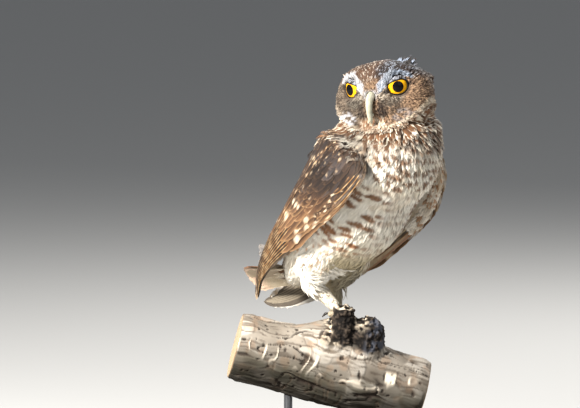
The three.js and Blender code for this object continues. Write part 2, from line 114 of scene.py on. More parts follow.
def spots(u, v, su, sv, ru, rv, keep, seed, edge=0.35):
    """A staggered grid of jittered oval spots: su, sv are the pitches, ru, rv the half axes, keep the share kept."""
    out = np.zeros(np.broadcast(u, v).shape)
    row = np.floor(v / sv).astype(np.int64)
    for dr in (-1, 0, 1):
        r = row + dr
        uu = u / su - 0.5 * (r % 2)
        col = np.floor(uu).astype(np.int64)
        for dc in (-1, 0, 1):
            c = col + dc
            cu = (c + 0.5 + 0.5 * (r % 2) + 0.44 * (hash01(c, r, 1, seed) - 0.5)) * su
            cv = (r + 0.5 + 0.44 * (hash01(c, r, 2, seed) - 0.5)) * sv
            size = 0.75 + 0.5 * hash01(c, r, 3, seed)
            d = np.hypot((u - cu) / (ru * size), (v - cv) / (rv * size))
            on = hash01(c, r, 4, seed) < keep
            out = np.maximum(out, np.where(on, 1 - smooth(d, 1 - edge, 1 + edge), 0))
    return out


def table(rows, t):
    """Smooth interpolation of rows [t, a, b, ...], the same as the solids use."""
    rows = np.array(rows, float)
    x = rows[:, 0]
    t = np.clip(np.asarray(t, float), x[0], x[-1])
    i = np.clip(np.searchsorted(x, t, side="left") - 1, 0, len(x) - 2)
    a, b = np.maximum(i - 1, 0), np.minimum(i + 2, len(x) - 1)
    h = x[i + 1] - x[i]
    f = ((t - x[i]) / h)[..., None]
    p1, p2 = rows[i, 1:], rows[i + 1, 1:]
    m1 = (p2 - rows[a, 1:]) / (x[i + 1] - x[a])[..., None] * h[..., None]
    m2 = (rows[b, 1:] - p1) / (x[b] - x[i])[..., None] * h[..., None]
    f2, f3 = f * f, f * f * f
    return (2 * f3 - 3 * f2 + 1) * p1 + (f3 - 2 * f2 + f) * m1 + (3 * f2 - 2 * f3) * p2 + (f3 - f2) * m2


# ---------------------------------------------------------------- the bird's own lines, as in the solids
TRUNK = [
    [0.0, 46, 22, 3, 3, 3],
    [0.06, 40, 26, 14, 10, 8],
    [0.2, 26, 38, 27, 22, 16],
    [0.38, 8, 58, 35, 33, 31],
    [0.56, -11, 82, 39.5, 38, 42],
    [0.72, -25, 104, 41, 41, 43],
    [0.85, -38, 121, 44, 39, 43],
    [0.9, -42, 131, 42.5, 37, 42],
    [0.955, -44, 147, 36.5, 33, 36.5],
    [1.0, -45, 170, 26, 24, 26],
]
WING = {
    "right": {
        "leading": [
            [0.0, -50, 124, 35], [0.08, -60, 116, 40.5], [0.18, -62, 105, 45], [0.35, -41, 83, 48],
            [0.5, -18, 67.7, 47], [0.68, 14.6, 45.7, 41.5], [0.82, 37, 34.8, 34], [0.92, 55.2, 22.6, 26],
            [1.0, 66, 7.5, 18.5],
        ],
        "inner": [
            [0.0, -30, 138, 30], [0.1, -10, 138, 24], [0.25, 6, 130, 17], [0.45, 22, 107, 14],
            [0.65, 38, 80, 15], [0.82, 53, 53, 20], [0.93, 61, 32, 22], [1.0, 66.5, 9, 18.5],
        ],
    },
    "left": {
        "leading": [
            [0.0, -50, 125, 35], [0.08, -63, 118, 43], [0.18, -60, 101.5, 50], [0.3, -45, 77, 57],
            [0.42, -26.5, 60.5, 58], [0.54, -5, 42, 53], [0.66, 16, 24.5, 43], [0.78, 42, 9, 31],
            [0.88, 65, -0.2, 23], [0.95, 83, -1.4, 18.5], [1.0, 92, 2, 16],
        ],
        "inner": [
            [0.0, -30, 138, 30], [0.1, -10, 138, 24], [0.25, 6, 130, 17], [0.45, 22, 107, 14],
            [0.65, 40, 76, 17], [0.8, 60, 46, 23], [0.9, 77, 22, 21], [1.0, 92.5, 4, 16],
        ],
    },
}
WING_THICK = [[0, 5], [0.12, 9], [0.4, 8], [0.7, 5.5], [0.9, 3], [1, 1.6]]
TAIL = {
    "right": [[-11, 24, 37], [-16, 73, 34]],
    "middle": [[0, 30, 33], [-3, 92, 24]],
    "left": [[11, 30, 26], [12, 88, 13.5]],
}
HEAD = {"at": [0, -45.5, 165.5], "yaw": 70, "pitch": 5, "roll": -5}
EYE = {"r": 10.0, "side": 14.4, "front": 12.9, "up": 9.5, "axis": 32.0}

head_matrix = np.array(
    (
        Matrix.Translation(HEAD["at"])
        @ Matrix.Rotation(math.radians(180 - HEAD["yaw"]), 4, "Z")
        @ Matrix.Rotation(math.radians(-HEAD["roll"]), 4, "Y")
        @ Matrix.Rotation(math.radians(-HEAD["pitch"]), 4, "X")
    )
)
HR, HT = head_matrix[:3, :3], head_matrix[:3, 3]


def head_local(p):  # x to the bird's right, y forward, z up
    return (np.asarray(p, float) - HT) @ HR


def head_world(p):
    return np.asarray(p, float) @ HR.T + HT


def eye_centre(k):  # k = 1 right, -1 left, in the head's frame
    return np.array([k * EYE["side"], EYE["front"], EYE["up"]])


def eye_axes(k):
    a = math.radians(EYE["axis"])
    look = unit([k * math.sin(a), math.cos(a), -0.02])
    up = unit(np.array([0, 0, 1.0]) - look * look[2])
    return look, np.cross(look, up), up  # the second points to the bird's right


axis_t = np.linspace(0, 1, 160)
axis_rows = table(TRUNK, axis_t)
axis_yz = axis_rows[:, :2]
axis_d = np.gradient(axis_yz, axis=0)
axis_len = np.concatenate([[0], np.cumsum(np.linalg.norm(np.diff(axis_yz, axis=0), axis=1))])
axis_d = unit(axis_d)


belly_yz = axis_yz - axis_rows[:, 4:5] * np.stack([axis_d[:, 1], -axis_d[:, 0]], 1)
belly_len = np.concatenate([[0], np.cumsum(np.linalg.norm(np.diff(belly_yz, axis=0), axis=1))])
belly_ratio = np.clip(np.gradient(belly_len) / np.gradient(axis_len), 0.6, 2.4)


def trunk_coords(p):
    """For points: t along the trunk, length along it, angle round it (0 back, +-pi belly, + left), radius, index."""
    p = np.asarray(p, float)
    flat = p.reshape(-1, 3)
    idx = np.empty(len(flat), np.int64)
    for s in range(0, len(flat), 20000):
        d = flat[s : s + 20000, None, 1:] - axis_yz[None]
        idx[s : s + 20000] = np.argmin((d * d).sum(-1), axis=1)
    t = axis_t[idx]
    off = flat[:, 1:] - axis_yz[idx]
    d = axis_d[idx]
    back = off[:, 0] * d[:, 1] - off[:, 1] * d[:, 0]
    along = (off * d).sum(-1)
    x = flat[:, 0] - 8 * smooth(t, 0.8, 1.0)
    shape = p.shape[:-1]
    phi = np.arctan2(x, back)
    rad = np.hypot(x, back)
    return t.reshape(shape), (axis_len[idx] + along).reshape(shape), phi.reshape(shape), rad.reshape(shape), idx.reshape(shape)


# ---------------------------------------------------------------- colours
WHITE = srgb(238, 232, 220)
CREAM = srgb(226, 211, 182)
BUFF = srgb(206, 170, 126)
RUFOUS = srgb(150, 98, 56)
BROWN = srgb(112, 80, 55)
DARK = srgb(60, 43, 32)
GREY = srgb(140, 128, 116)
BLUEGREY = srgb(110, 112, 122)


def disc(h):
    """Distance from the middle of the face, 1 on the rim of the facial disc."""
    return np.hypot(h[..., 0] / np.where(h[..., 0] < 0, 39.5, 36.0), (h[..., 2] - 3.0) / 23.5)


def collar_colour(p, q, a, r):
    """Brown feathers edged and tipped with white, so that the collar is mottled."""
    n = noise(p, 6, 17)
    dark = mix(srgb(62, 43, 31), srgb(120, 84, 57), r)
    pale = mix(WHITE, CREAM, 0.3 + 0.6 * n)
    edge = np.maximum(0.7 * smooth(q, 0.86, 0.98), 0.85 * smooth(np.abs(a), 0.62, 0.92) * smooth(q, 0.35, 0.6))
    edge = np.maximum(edge, 0.9 * (hash01(np.floor(r * 997), 3) < 0.15) * smooth(q, 0.3, 0.5))
    out = mix(dark, pale, edge)
    out = mix(out, srgb(96, 66, 45), 0.5 * smooth(n, 0.42, 0.7))
    # painted shade: the collar darkened at the side of the nape, over the bird's right shoulder
    nape_shade = smooth(p[..., 0], -29, -37) * smooth(p[..., 2], 108, 120) * smooth(p[..., 2], 156, 143)
    return out * (1 - 0.78 * nape_shade)[..., None]


def head_colour(p, q, a, r):
    """q 0..1 along the feather, a -1..1 across it, r 0..1 one number for each feather."""
    h = head_local(p)
    x, y, z = h[..., 0], h[..., 1], h[..., 2]
    ax = np.abs(x)
    n = noise(h, 5, 3)
    streak = smooth(1 - np.abs(a), 0.45, 0.9) * smooth(q, 0.35, 0.65)
    pick = hash01(np.floor(r * 1009), 5)
    crown = mix(srgb(78, 56, 42), mix(BUFF, WHITE, 0.7), streak * (0.06 + 0.8 * (pick < 0.3)) * (0.45 + 0.55 * n))
    # painted shade: the crown on the bird's left darker and bluish grey, its pale streaks bluish
    shaded_side = smooth(x, 2, -8) * smooth(z, 12, 20)
    crown = mix(crown, mix(srgb(38, 37, 39), srgb(140, 148, 162), streak * (pick < 0.4)), 0.88 * shaded_side)
    crown = mix(crown, srgb(48, 36, 29), 0.5 * smooth(noise(h, 7, 5), 0.45, 0.7))
    crown = mix(crown, srgb(150, 152, 162), 0.4 * smooth(-y, -2, 18) * smooth(z, 8, 22) * (pick > 0.6))
    tuft = 1 - smooth(np.linalg.norm(h - np.array([-15, -6, 24.0]), axis=-1), 6, 10)
    crown = mix(crown, np.where((pick > 0.66)[..., None], srgb(140, 150, 166), srgb(40, 35, 32)), 0.85 * tuft)
    fine = noise(h * [2.2, 1, 2.2], 1.5, 8)
    cheek = mix(srgb(80, 61, 47), srgb(150, 122, 96), smooth(fine, 0.25, 0.75))
    cheek = mix(cheek, DARK, 0.35 * smooth(noise(h, 2.0, 11), 0.62, 0.8))
    # painted shade: the cheek on the bird's right duller and darker
    cheek = mix(cheek, mix(srgb(52, 45, 38), srgb(104, 94, 82), smooth(fine, 0.3, 0.8)), 0.85 * smooth(x, 1, 9))
    out = mix(crown, cheek, smooth(z + 0.25 * np.maximum(ax - 20, 0), 19, 13) * smooth(y, -12, -2))
    for k in (1, -1):
        look, right, up = eye_axes(k)
        d = h - eye_centre(k)
        f, s, v = d @ look, (d @ right) * k, d @ up  # s outwards
        near = smooth(f, 1, 4)
        # whitish bristles between the eye and the bill, and below the eye
        lore = near * smooth(np.hypot((s + 7) / 10.5, (v + 6) / 8.0), 1.25, 0.7)
        streaks = smooth(noise(h * [3, 1, 3], 1.5, 18), 0.32, 0.66)
        # painted shade: the bristles dimmer on the bird's right and towards their lower edge
        bristles = mix(srgb(70, 57, 46), srgb(190, 178, 160), streaks) * ((0.62 if k == 1 else 0.85) * (1 - 0.6 * smooth(v, -5.5, -9)))[..., None]
        out = mix(out, bristles, 0.85 * lore)
        rim = near * smooth(np.hypot(s / 8.6, v / 7.0), 1.14, 1.0)
        out = mix(out, srgb(64, 52, 44), 0.75 * rim)
        # white brow, from the bill up over the eye
        vc = np.where(s > -3, 9.7 - 0.026 * np.clip(s, -3, 30) ** 2, 9.5 - 0.74 * (-3 - s))
        wide = np.where(s > -3, (3.3 if k == 1 else 2.3) - 0.08 * np.clip(s, 0, 20), 4.0)
        brow = smooth(np.abs(v - vc) / wide, 1.12, 0.78) * smooth(s, 14.5, 11) * smooth(s, -17, -14.5) * smooth(y, 2, 7)
        tint = mix(srgb(214, 212, 210), srgb(176, 178, 188), noise(h, 2.5, 23))
        # painted shade: the brow's white greyed and dimmed, more over the left eye, where it is also tinted bluish grey
        tint = mix(tint, srgb(104, 92, 84), 0.75 * smooth(noise(h * [1.2, 1, 3], 1.7, 24), 0.56, 0.74)) * (0.82 if k == 1 else 0.7)
        if k == -1:  # bluish grey and streaked with dark over the left eye
            tint = mix(tint, srgb(132, 146, 164), 0.5 + 0.3 * smooth(s, -6, 2))
            tint = mix(tint, srgb(46, 42, 42), 0.6 * smooth(s, -4, 2) * smooth(noise(h * [1, 1, 3], 2.0, 27), 0.42, 0.6))
        out = mix(out, tint, 0.94 * brow)
        corner = near * smooth(np.hypot((s + 9.3) / 3.0, (v + 2.6) / 1.6), 1.3, 0.6)
        out = mix(out, srgb(28, 23, 21), 0.9 * corner)
        corner = near * smooth(np.hypot((s - 9.2) / 2.4, (v - 1.8) / 1.6), 1.3, 0.6)
        out = mix(out, srgb(38, 31, 27), 0.85 * corner)
    # beside the bill: dark bristles, with the bill's shadow painted in, heavier on the bird's left
    dark = smooth(np.hypot((ax - 8.0) / 4.6, (z + 7.5) / 8.5), 1.15, 0.45) * smooth(y, 18, 23)
    low = smooth(np.hypot((x + 15.0) / 11.0, (z + 5.0) / 6.5), 1.2, 0.5) * smooth(y, 6, 12)
    out = mix(out, srgb(58, 49, 40), 0.72 * low * smooth(noise(h * [3, 1, 1.6], 1.8, 29), 0.2, 0.5))
    out = mix(out, srgb(40, 32, 27), np.where(x < 0, 0.95, 0.75) * dark * smooth(noise(h * [3, 1, 2], 1.5, 19), 0.15, 0.4))
    middle = smooth(ax, 6.5, 3.5) * smooth(y, 18, 24) * smooth(z, 10, 7) * smooth(z, 1, 4)
    out = mix(out, srgb(178, 176, 178), 0.8 * middle)
    # pale whiskers under the bill, the white cheek and the pale rim of the disc
    rr = disc(h)
    chin = smooth(z, -10, -15) * smooth(y, 8, 18) * smooth(ax, 13, 8)
    out = mix(out, mix(srgb(214, 198, 176), srgb(136, 102, 76), smooth(noise(h * [2, 1, 1], 2.4, 22), 0.35, 0.6)), 0.8 * chin)
    white_cheek = smooth(np.hypot((ax - 23) / 9.0, (z + 12.2) / 5.6), 1.2, 0.75) * smooth(y, 0, 6) * np.where(x > 0, 1.0, 0.3)
    white_cheek = white_cheek * smooth(noise(h * [1.1, 1, 2.4], 3.2, 25), 0.34, 0.62)
    # the white cheek patch, painted greyish blue for the shade it lies in
    out = mix(out, mix(srgb(196, 196, 200), srgb(150, 146, 148), n), 0.8 * white_cheek)
    # the disc's pale rim is feather colour; its added strength on the bird's left is a painted highlight
    rim = smooth(np.abs(rr - 0.972), 0.045, 0.018) * smooth(z, 3, -4) * smooth(y, -16, -6) * (0.3 + 0.7 * smooth(x, 6, -6))
    rim = rim * (0.55 + 0.45 * smooth(noise(h, 2.2, 28), 0.35, 0.6))
    out = mix(out, mix(srgb(198, 178, 148), srgb(220, 208, 190), n), 0.8 * rim)
    return mix(out, collar_colour(p, q, a, r), smooth(rr, 1.0, 1.05) * smooth(z, 10, 4))


def body_colour(p, q, a, r):
    t, ell, phi, rad, idx = trunk_coords(p)
    arc = phi * 38.0
    lat = math.pi - np.abs(phi)  # 0 on the middle of the belly
    n = noise(p, 7, 1)
    # over the belly, length is measured on the outside of the curve
    fore = smooth(lat, 1.7, 0.4)
    ell = ell * (1 - fore) + (belly_len[idx] + (ell - axis_len[idx]) * belly_ratio[idx]) * fore
    front = mix(mix(srgb(244, 239, 229), CREAM, 0.15 + 0.35 * n), CREAM, 0.6 * smooth(t, 0.5, 0.25) * smooth(lat, 0.9, 0.4))
    front = mix(front, srgb(190, 160, 124), 0.3 * smooth(noise(p, 6, 6), 0.58, 0.78) * smooth(t, 0.5, 0.7))
    # painted shade: the belly below the flank's hem turned a darker olive cream, and the middle of the breast dimmed,
    # while the flank stays bright
    front = mix(front, srgb(182, 167, 132), 0.88 * smooth(t, 0.6, 0.38) * smooth(lat, 0.95, 0.6))
    front = front * (1 - 0.22 * smooth(t, 0.48, 0.6) * smooth(t, 0.84, 0.76) * smooth(lat, 1.5, 1.1))[..., None]
    # brown bars across the breast and the flanks, in pairs
    zone = smooth(t, 0.40, 0.5) * smooth(t, 0.88, 0.80) * smooth(lat, 2.1, 1.7)
    zone = zone * (0.35 + 0.65 * smooth(np.abs(lat - 0.15), 0.05, 0.35))
    slant = ell + 0.22 * np.abs(arc - np.sign(arc) * 119) * smooth(lat, 0.5, 1.0)
    bars = spots(arc + 2.5 * noise(p, 6, 2), slant + 1.5 * noise(p, 5, 7), 12.0, 6.6, 5.1, 2.05, 0.86, 31, 0.25)
    light = mix(RUFOUS, srgb(116, 80, 52), smooth(t, 0.45, 0.62))
    front = mix(front, light, 0.95 * bars * zone)
    flank = smooth(t, 0.2, 0.28) * smooth(t, 0.5, 0.4) * smooth(lat, 0.5, 0.9) * smooth(lat, 2.3, 1.9)
    small = spots(arc, ell, 8.0, 6.4, 1.5, 1.0, 0.6, 37, 0.4)
    front = mix(front, srgb(186, 128, 74), 0.8 * small * flank)
    # bib: white crescents with brown tips, then the mottled collar
    bib = smooth(t, 0.80, 0.85) * smooth(lat, 2.5, 2.0)
    cres = spots(arc + 3 * noise(p, 6, 4), ell + 2.5 * noise(p, 7, 5), 8.0, 7.6, 3.4, 2.1, 0.85, 41, 0.3)
    bibc = mix(mix(WHITE, CREAM, 0.6 * n), mix(srgb(104, 74, 50), RUFOUS, 0.5 * n), 0.92 * cres)
    front = mix(front, bibc, bib)
    front = mix(front, collar_colour(p, q, a, r), smooth(t, 0.885, 0.925))
    # back: brown with whitish spots
    spot = spots(arc, ell, 9.5, 8.5, 2.0, 3.0, 0.85, 51, 0.3)
    back = mix(mix(BROWN, DARK, 0.5 * smooth(n, 0.4, 0.8)), mix(CREAM, WHITE, 0.4), 0.8 * spot)
    back = mix(back, BUFF, 0.18 * smooth(np.abs(a), 0.6, 1.0))
    back = mix(back, collar_colour(p, q, a, r), 0.8 * smooth(t, 0.9, 0.94))
    # painted shade: the breast's edge over the wing's bend darkened to brown
    fold_shade = smooth(p[..., 0], -30, -36) * smooth(p[..., 2], 106, 112) * smooth(p[..., 2], 134, 127)  # the edge over the wing's bend
    front = mix(front, mix(srgb(58, 44, 35), srgb(150, 126, 102), smooth(noise(p, 3.0, 80), 0.5, 0.75)), 0.85 * fold_shade)
    late = 0.5 * (phi > 0)  # the left flank stays pale further round, under the drooping wing
    return mix(front, back, smooth(lat, 1.65 + late, 2.05 + late))


def leg_colour(p, q, a, r):
    n = noise(p, 4, 12)
    z = p[..., 2]
    out = mix(WHITE, CREAM, 0.2 + 0.45 * n)
    speck = smooth(noise(p, 1.5, 14), 0.66, 0.8) * smooth(z, 30, 18)
    out = mix(out, srgb(150, 116, 84), 0.6 * speck)
    # painted shade: the bird's left leg, behind the right one, duller and darker cream
    return mix(out, srgb(168, 154, 124), 0.8 * smooth(p[..., 0], -1, 3))


def wing_small_colour(p, q, a, r):
    n = noise(p, 5, 13)
    pick = hash01(np.floor(r * 1013), 7)
    left = mix(mix(srgb(176, 158, 134), WHITE, n), srgb(150, 108, 70), 0.8 * (pick < 0.2))
    right = mix(mix(srgb(44, 34, 28), srgb(80, 60, 44), n), srgb(196, 172, 142), 0.8 * (pick < 0.16) * smooth(q, 0.35, 0.6))
    return np.where((p[..., 0] > 0)[..., None], left, right)


# ---------------------------------------------------------------- meshes
def new_object(name, verts_mm, faces, smooth_shade=True, colour=None, fuv=None, uv=None):
    """verts in the bird's frame; faces an (n,3) or (n,4) array; colour and fuv per vertex; uv per vertex."""
    faces = np.asarray(faces)
    me = bpy.data.meshes.new(name)
    v = to_row(verts_mm).astype(np.float32)
    k = faces.shape[1]
    me.vertices.add(len(v))
    me.vertices.foreach_set("co", v.ravel())
    me.loops.add(faces.size)
    me.loops.foreach_set("vertex_index", faces.astype(np.int32).ravel())
    me.polygons.add(len(faces))
    me.polygons.foreach_set("loop_start", np.arange(0, faces.size, k, dtype=np.int32))
    me.polygons.foreach_set("loop_total", np.full(len(faces), k, dtype=np.int32))
    me.update(calc_edges=True)
    me.validate()
    if colour is not None:
        at = me.color_attributes.new("Col", "FLOAT_COLOR", "POINT")
        rgba = np.ones((len(v), 4), np.float32)
        rgba[:, :3] = np.clip(colour, 0, 1)
        at.data.foreach_set("color", rgba.ravel())
    if fuv is not None:
        at = me.attributes.new("fuv", "FLOAT_VECTOR", "POINT")
        w = np.zeros((len(v), 3), np.float32)
        w[:, : fuv.shape[1]] = fuv
        at.data.foreach_set("vector", w.ravel())
    if uv is not None:
        layer = me.uv_layers.new(name="OFBake")
        loops = np.empty(len(me.loops), np.int32)
        me.loops.foreach_get("vertex_index", loops)
        layer.data.foreach_set("uv", np.clip(uv, 0.0005, 0.9995).astype(np.float32)[loops].ravel())
    me.polygons.foreach_set("use_smooth", np.full(len(me.polygons), smooth_shade))
    ob = bpy.data.objects.new(name, me)
    bpy.context.scene.collection.objects.link(ob)
    return ob


def arrays(me):
    n = len(me.vertices)
    v = np.empty(n * 3, np.float32)
    me.vertices.foreach_get("co", v)
    me.calc_loop_triangles()
    f = np.empty(len(me.loop_triangles) * 3, np.int32)
    me.loop_triangles.foreach_get("vertices", f)
    return v.reshape(-1, 3).astype(float), f.reshape(-1, 3)


def node_arrays(name):
    """The node's welded vertices, in the bird's frame, and its triangles."""
    ob = NODES[name]
    v, f = arrays(ob.data)
    key = np.round(v * 1e6).astype(np.int64)
    _, first, inv = np.unique(key, axis=0, return_index=True, return_inverse=True)
    inv = inv.reshape(-1)
    return from_row(v[first]), inv[f]


def vertex_normals(v, f):
    n = np.zeros_like(v)
    fn = np.cross(v[f[:, 1]] - v[f[:, 0]], v[f[:, 2]] - v[f[:, 0]])
    for k in range(3):
        np.add.at(n, f[:, k], fn)
    return unit(n)


def laplace(values, edges, count, weight=0.5, times=1, hold=None):
    out = values.astype(float).copy()
    deg = np.zeros(count)
    np.add.at(deg, edges[:, 0], 1)
    np.add.at(deg, edges[:, 1], 1)
    deg = np.maximum(deg, 1)
    for _ in range(times):
        acc = np.zeros_like(out)
        np.add.at(acc, edges[:, 0], out[edges[:, 1]])
        np.add.at(acc, edges[:, 1], out[edges[:, 0]])
        mean = acc / (deg[:, None] if out.ndim == 2 else deg)
        w = weight if hold is None else weight * (hold[:, None] if out.ndim == 2 else hold)
        out = out + (mean - out) * w
    return out


def mesh_edges(f):
    e = np.concatenate([f[:, [0, 1]], f[:, [1, 2]], f[:, [2, 0]]])
    e.sort(axis=1)
    return np.unique(e, axis=0)


def remeshed(names, voxel, grow):
    """One closed surface round several nodes."""
    vs, fs, n = [], [], 0
    for name in names:
        v, f = node_arrays(name)
        v = v + vertex_normals(v, f) * grow
        vs.append(v)
        fs.append(f + n)
        n += len(v)
    ob = new_object("tmp_join", np.concatenate(vs), np.concatenate(fs))
    mod = ob.modifiers.new("r", "REMESH")
    mod.mode, mod.voxel_size = "VOXEL", voxel / 1000.0
    dg = bpy.context.evaluated_depsgraph_get()
    me = bpy.data.meshes.new_from_object(ob.evaluated_get(dg))
    v, f = arrays(me)
    bpy.data.objects.remove(ob)
    bpy.data.meshes.remove(me)
    return from_row(v), f


FLESH = ["head", "neck", "trunk", "wing_left", "wing_right", "tail", "thigh_left", "thigh_right", "tarsus_left", "tarsus_right"]
SV, SF = remeshed(FLESH, 1.25, 0.22)
SE = mesh_edges(SF)

trees = {}
for name in FLESH:
    v, f = node_arrays(name)
    trees[name] = BVHTree.FromPolygons([tuple(p) for p in v], [tuple(map(int, t)) for t in f])


def distances(points, name):
    tree = trees[name]
    return np.array([tree.find_nearest(Vector(p))[3] for p in points])


# ---------------------------------------------------------------- the wings' own sheet
def wing_rows(side):
    return WING["left" if side > 0 else "right"]


def wing_middle(side, s, c):
    rows = wing_rows(side)
    a, b = table(rows["leading"], s), table(rows["inner"], s)
    belly = np.sin(np.pi * c)
    x = a[..., 2] + (b[..., 2] - a[..., 2]) * np.clip(c, 0, 1) ** 2.5 + 3.4 * belly * (1 - 0.6 * s)
    y = a[..., 0] + (b[..., 0] - a[..., 0]) * c
    z = a[..., 1] + (b[..., 1] - a[..., 1]) * c + 1.5 * belly
    return np.stack([side * x, y, z], -1)


def wing_frame(side, s, c):
    """Point on the wing's middle sheet, its outward normal, the way to the tip and the way to the leading edge."""
    s, c = np.broadcast_arrays(np.asarray(s, float), np.asarray(c, float))
    p = wing_middle(side, s, c)
    ds = wing_middle(side, np.minimum(s + 0.015, 1), c) - wing_middle(side, np.maximum(s - 0.015, 0), c)
    dc = wing_middle(side, s, np.minimum(c + 0.03, 1)) - wing_middle(side, s, np.maximum(c - 0.03, 0))
    n = unit(np.cross(dc, ds))
    n = np.where((n[..., :1] * side) < 0, -n, n)
    # close to the inner edge the sheet turns over the back
    ds = unit(ds)
    lead = unit(np.cross(ds, n))
    lead = np.where((lead * dc).sum(-1, keepdims=True) > 0, -lead, lead)
    return p, n, ds, lead


_ws, _wc = np.meshgrid(np.linspace(0, 1, 60), np.linspace(0, 1, 24), indexing="ij")
WING_GRID = {}
for side in (1, -1):
    P, N_, D_, _l = wing_frame(side, _ws.ravel(), _wc.ravel())
    WING_GRID[side] = (BVHTree.FromPolygons(
        [tuple(p) for p in P],
        [(i * 24 + j, i * 24 + j + 1, (i + 1) * 24 + j + 1, (i + 1) * 24 + j) for i in range(59) for j in range(23)],
    ), P, D_)


def wing_place(side, points):
    """s and c of the nearest place on the wing's sheet."""
    tree = WING_GRID[side][0]
    out = np.empty((len(points), 2))
    for i, q in enumerate(points):
        f = tree.find_nearest(Vector(q))[2]
        out[i] = (f // 23 + 0.5) / 59, (f % 23 + 0.5) / 23
    return out


def wing_half(s, c):
    """Half the wing's thickness, thinning to both of its edges."""
    full = table(WING_THICK, s)[..., 0] * (1 - 0.35 * np.clip(c, 0, 1)) * 0.5
    return full * np.clip(np.sin(np.pi * np.clip(c, 0.012, 0.988)) * 1.25, 0, 1) ** 0.55


dist = np.stack([distances(SV, n) for n in FLESH], axis=1)
label = np.argmin(dist, axis=1)
REGION = {n: i for i, n in enumerate(FLESH)}
wing_w = laplace(np.isin(label, [REGION["wing_left"], REGION["wing_right"]]).astype(float), SE, len(SV), 0.5, 3)
tail_w = laplace((label == REGION["tail"]).astype(float), SE, len(SV), 0.5, 3)
leg_w = laplace(np.isin(label, [REGION[n] for n in FLESH[6:]]).astype(float), SE, len(SV), 0.5, 3)
tars_w = laplace(np.isin(label, [REGION[n] for n in FLESH[8:]]).astype(float), SE, len(SV), 0.5, 3)
body_w = np.clip(1 - wing_w - tail_w - leg_w, 0, 1)
OV = laplace(SV, SE, len(SV), 0.5, 10, hold=0.25 + 0.75 * body_w + 0.4 * np.clip(leg_w - tars_w, 0, 1))
ON = vertex_normals(OV, SF)
ON = unit(laplace(ON, SE, len(SV), 0.5, 3))
wing_depth = np.full(len(SV), 0.5)
for side, nm in ((1, "wing_left"), (-1, "wing_right")):
    here = np.where(label == REGION[nm])[0]
    sc = wing_place(side, SV[here])
    wing_depth[here] = np.clip(0.62 * wing_half(sc[:, 0], sc[:, 1]), 0.15, 2.3)
wing_depth = laplace(wing_depth, SE, len(SV), 0.5, 3)
DEPTH = 2.0 * body_w + wing_depth * wing_w + 0.3 * tail_w + 1.3 * np.clip(leg_w - tars_w, 0, 1) + 0.7 * tars_w
hl = head_local(OV)
face_w = smooth(hl[:, 1], 2, 14) * (label == REGION["head"])
DEPTH = DEPTH - 0.9 * face_w * body_w
KV = OV - ON * DEPTH[:, None]  # the skin


def skin_colour(p, lab, nrm):
    q, a, r = 0.6, 0.3, np.full(len(p), 0.3)
    out = body_colour(p, q, a, r)
    out = np.where((lab == REGION["head"])[:, None], head_colour(p, q, a, r), out)
    out = np.where(np.isin(lab, [REGION[n] for n in FLESH[6:]])[:, None], leg_colour(p, q, a, r), out)
    out = np.where(np.isin(lab, [REGION["wing_left"], REGION["wing_right"]])[:, None], srgb(124, 108, 92), out)
    out = np.where((lab == REGION["tail"])[:, None], srgb(196, 176, 150), out)
    # the inner side of the left wing is pale, with a rufous line along its leading edge
    pale = mix(srgb(222, 216, 206), srgb(186, 164, 136), smooth(noise(p * [1, 1, 0.5], 3.5, 78), 0.35, 0.7))
    lead = wing_middle(1, np.linspace(0.24, 0.62, 40), np.full(40, 0.0))
    inner = (lab == REGION["wing_left"]) & (nrm[:, 0] < 0.15)
    at_edge = np.zeros(len(p))
    at_edge[inner] = 1 - smooth(np.linalg.norm(p[inner][:, None] - lead, axis=-1).min(-1), 2.5, 5.5)
    out = np.where(inner[:, None], mix(pale, srgb(150, 102, 64), 0.85 * at_edge), out)
    # painted shade: the skin is a dimmed copy of the plumage's colours, where it shows between feathers
    return out * 0.8


skin = new_object("skin", KV, SF, colour=skin_colour(OV, label, vertex_normals(OV, SF)))
bpy.context.view_layer.objects.active = skin
skin.select_set(True)
bpy.ops.object.mode_set(mode="EDIT")
bpy.ops.mesh.select_all(action="SELECT")
bpy.ops.uv.smart_project(angle_limit=math.radians(66), island_margin=0.001)
bpy.ops.object.mode_set(mode="OBJECT")
skin.select_set(False)
skin.data.uv_layers[0].name = "OFBake"
_tri_loops = np.empty(len(skin.data.polygons) * 3, np.int32)
skin.data.polygons.foreach_get("vertices", _tri_loops)
UVL = np.empty(len(skin.data.loops) * 2, np.float32)
skin.data.uv_layers[0].data.foreach_get("uv", UVL)
UVF = UVL.reshape(-1, 3, 2)
SKF = _tri_loops.reshape(-1, 3)  # the skin's triangles, in the order of its map

outer_tree = BVHTree.FromPolygons([tuple(p) for p in OV], [tuple(map(int, t)) for t in SKF])
FN = unit(np.cross(OV[SKF[:, 1]] - OV[SKF[:, 0]], OV[SKF[:, 2]] - OV[SKF[:, 0]]))
FA = 0.5 * np.linalg.norm(np.cross(OV[SKF[:, 1]] - OV[SKF[:, 0]], OV[SKF[:, 2]] - OV[SKF[:, 0]]), axis=1)
FC = OV[SKF].mean(axis=1)
FLAB = label[SKF[:, 0]]


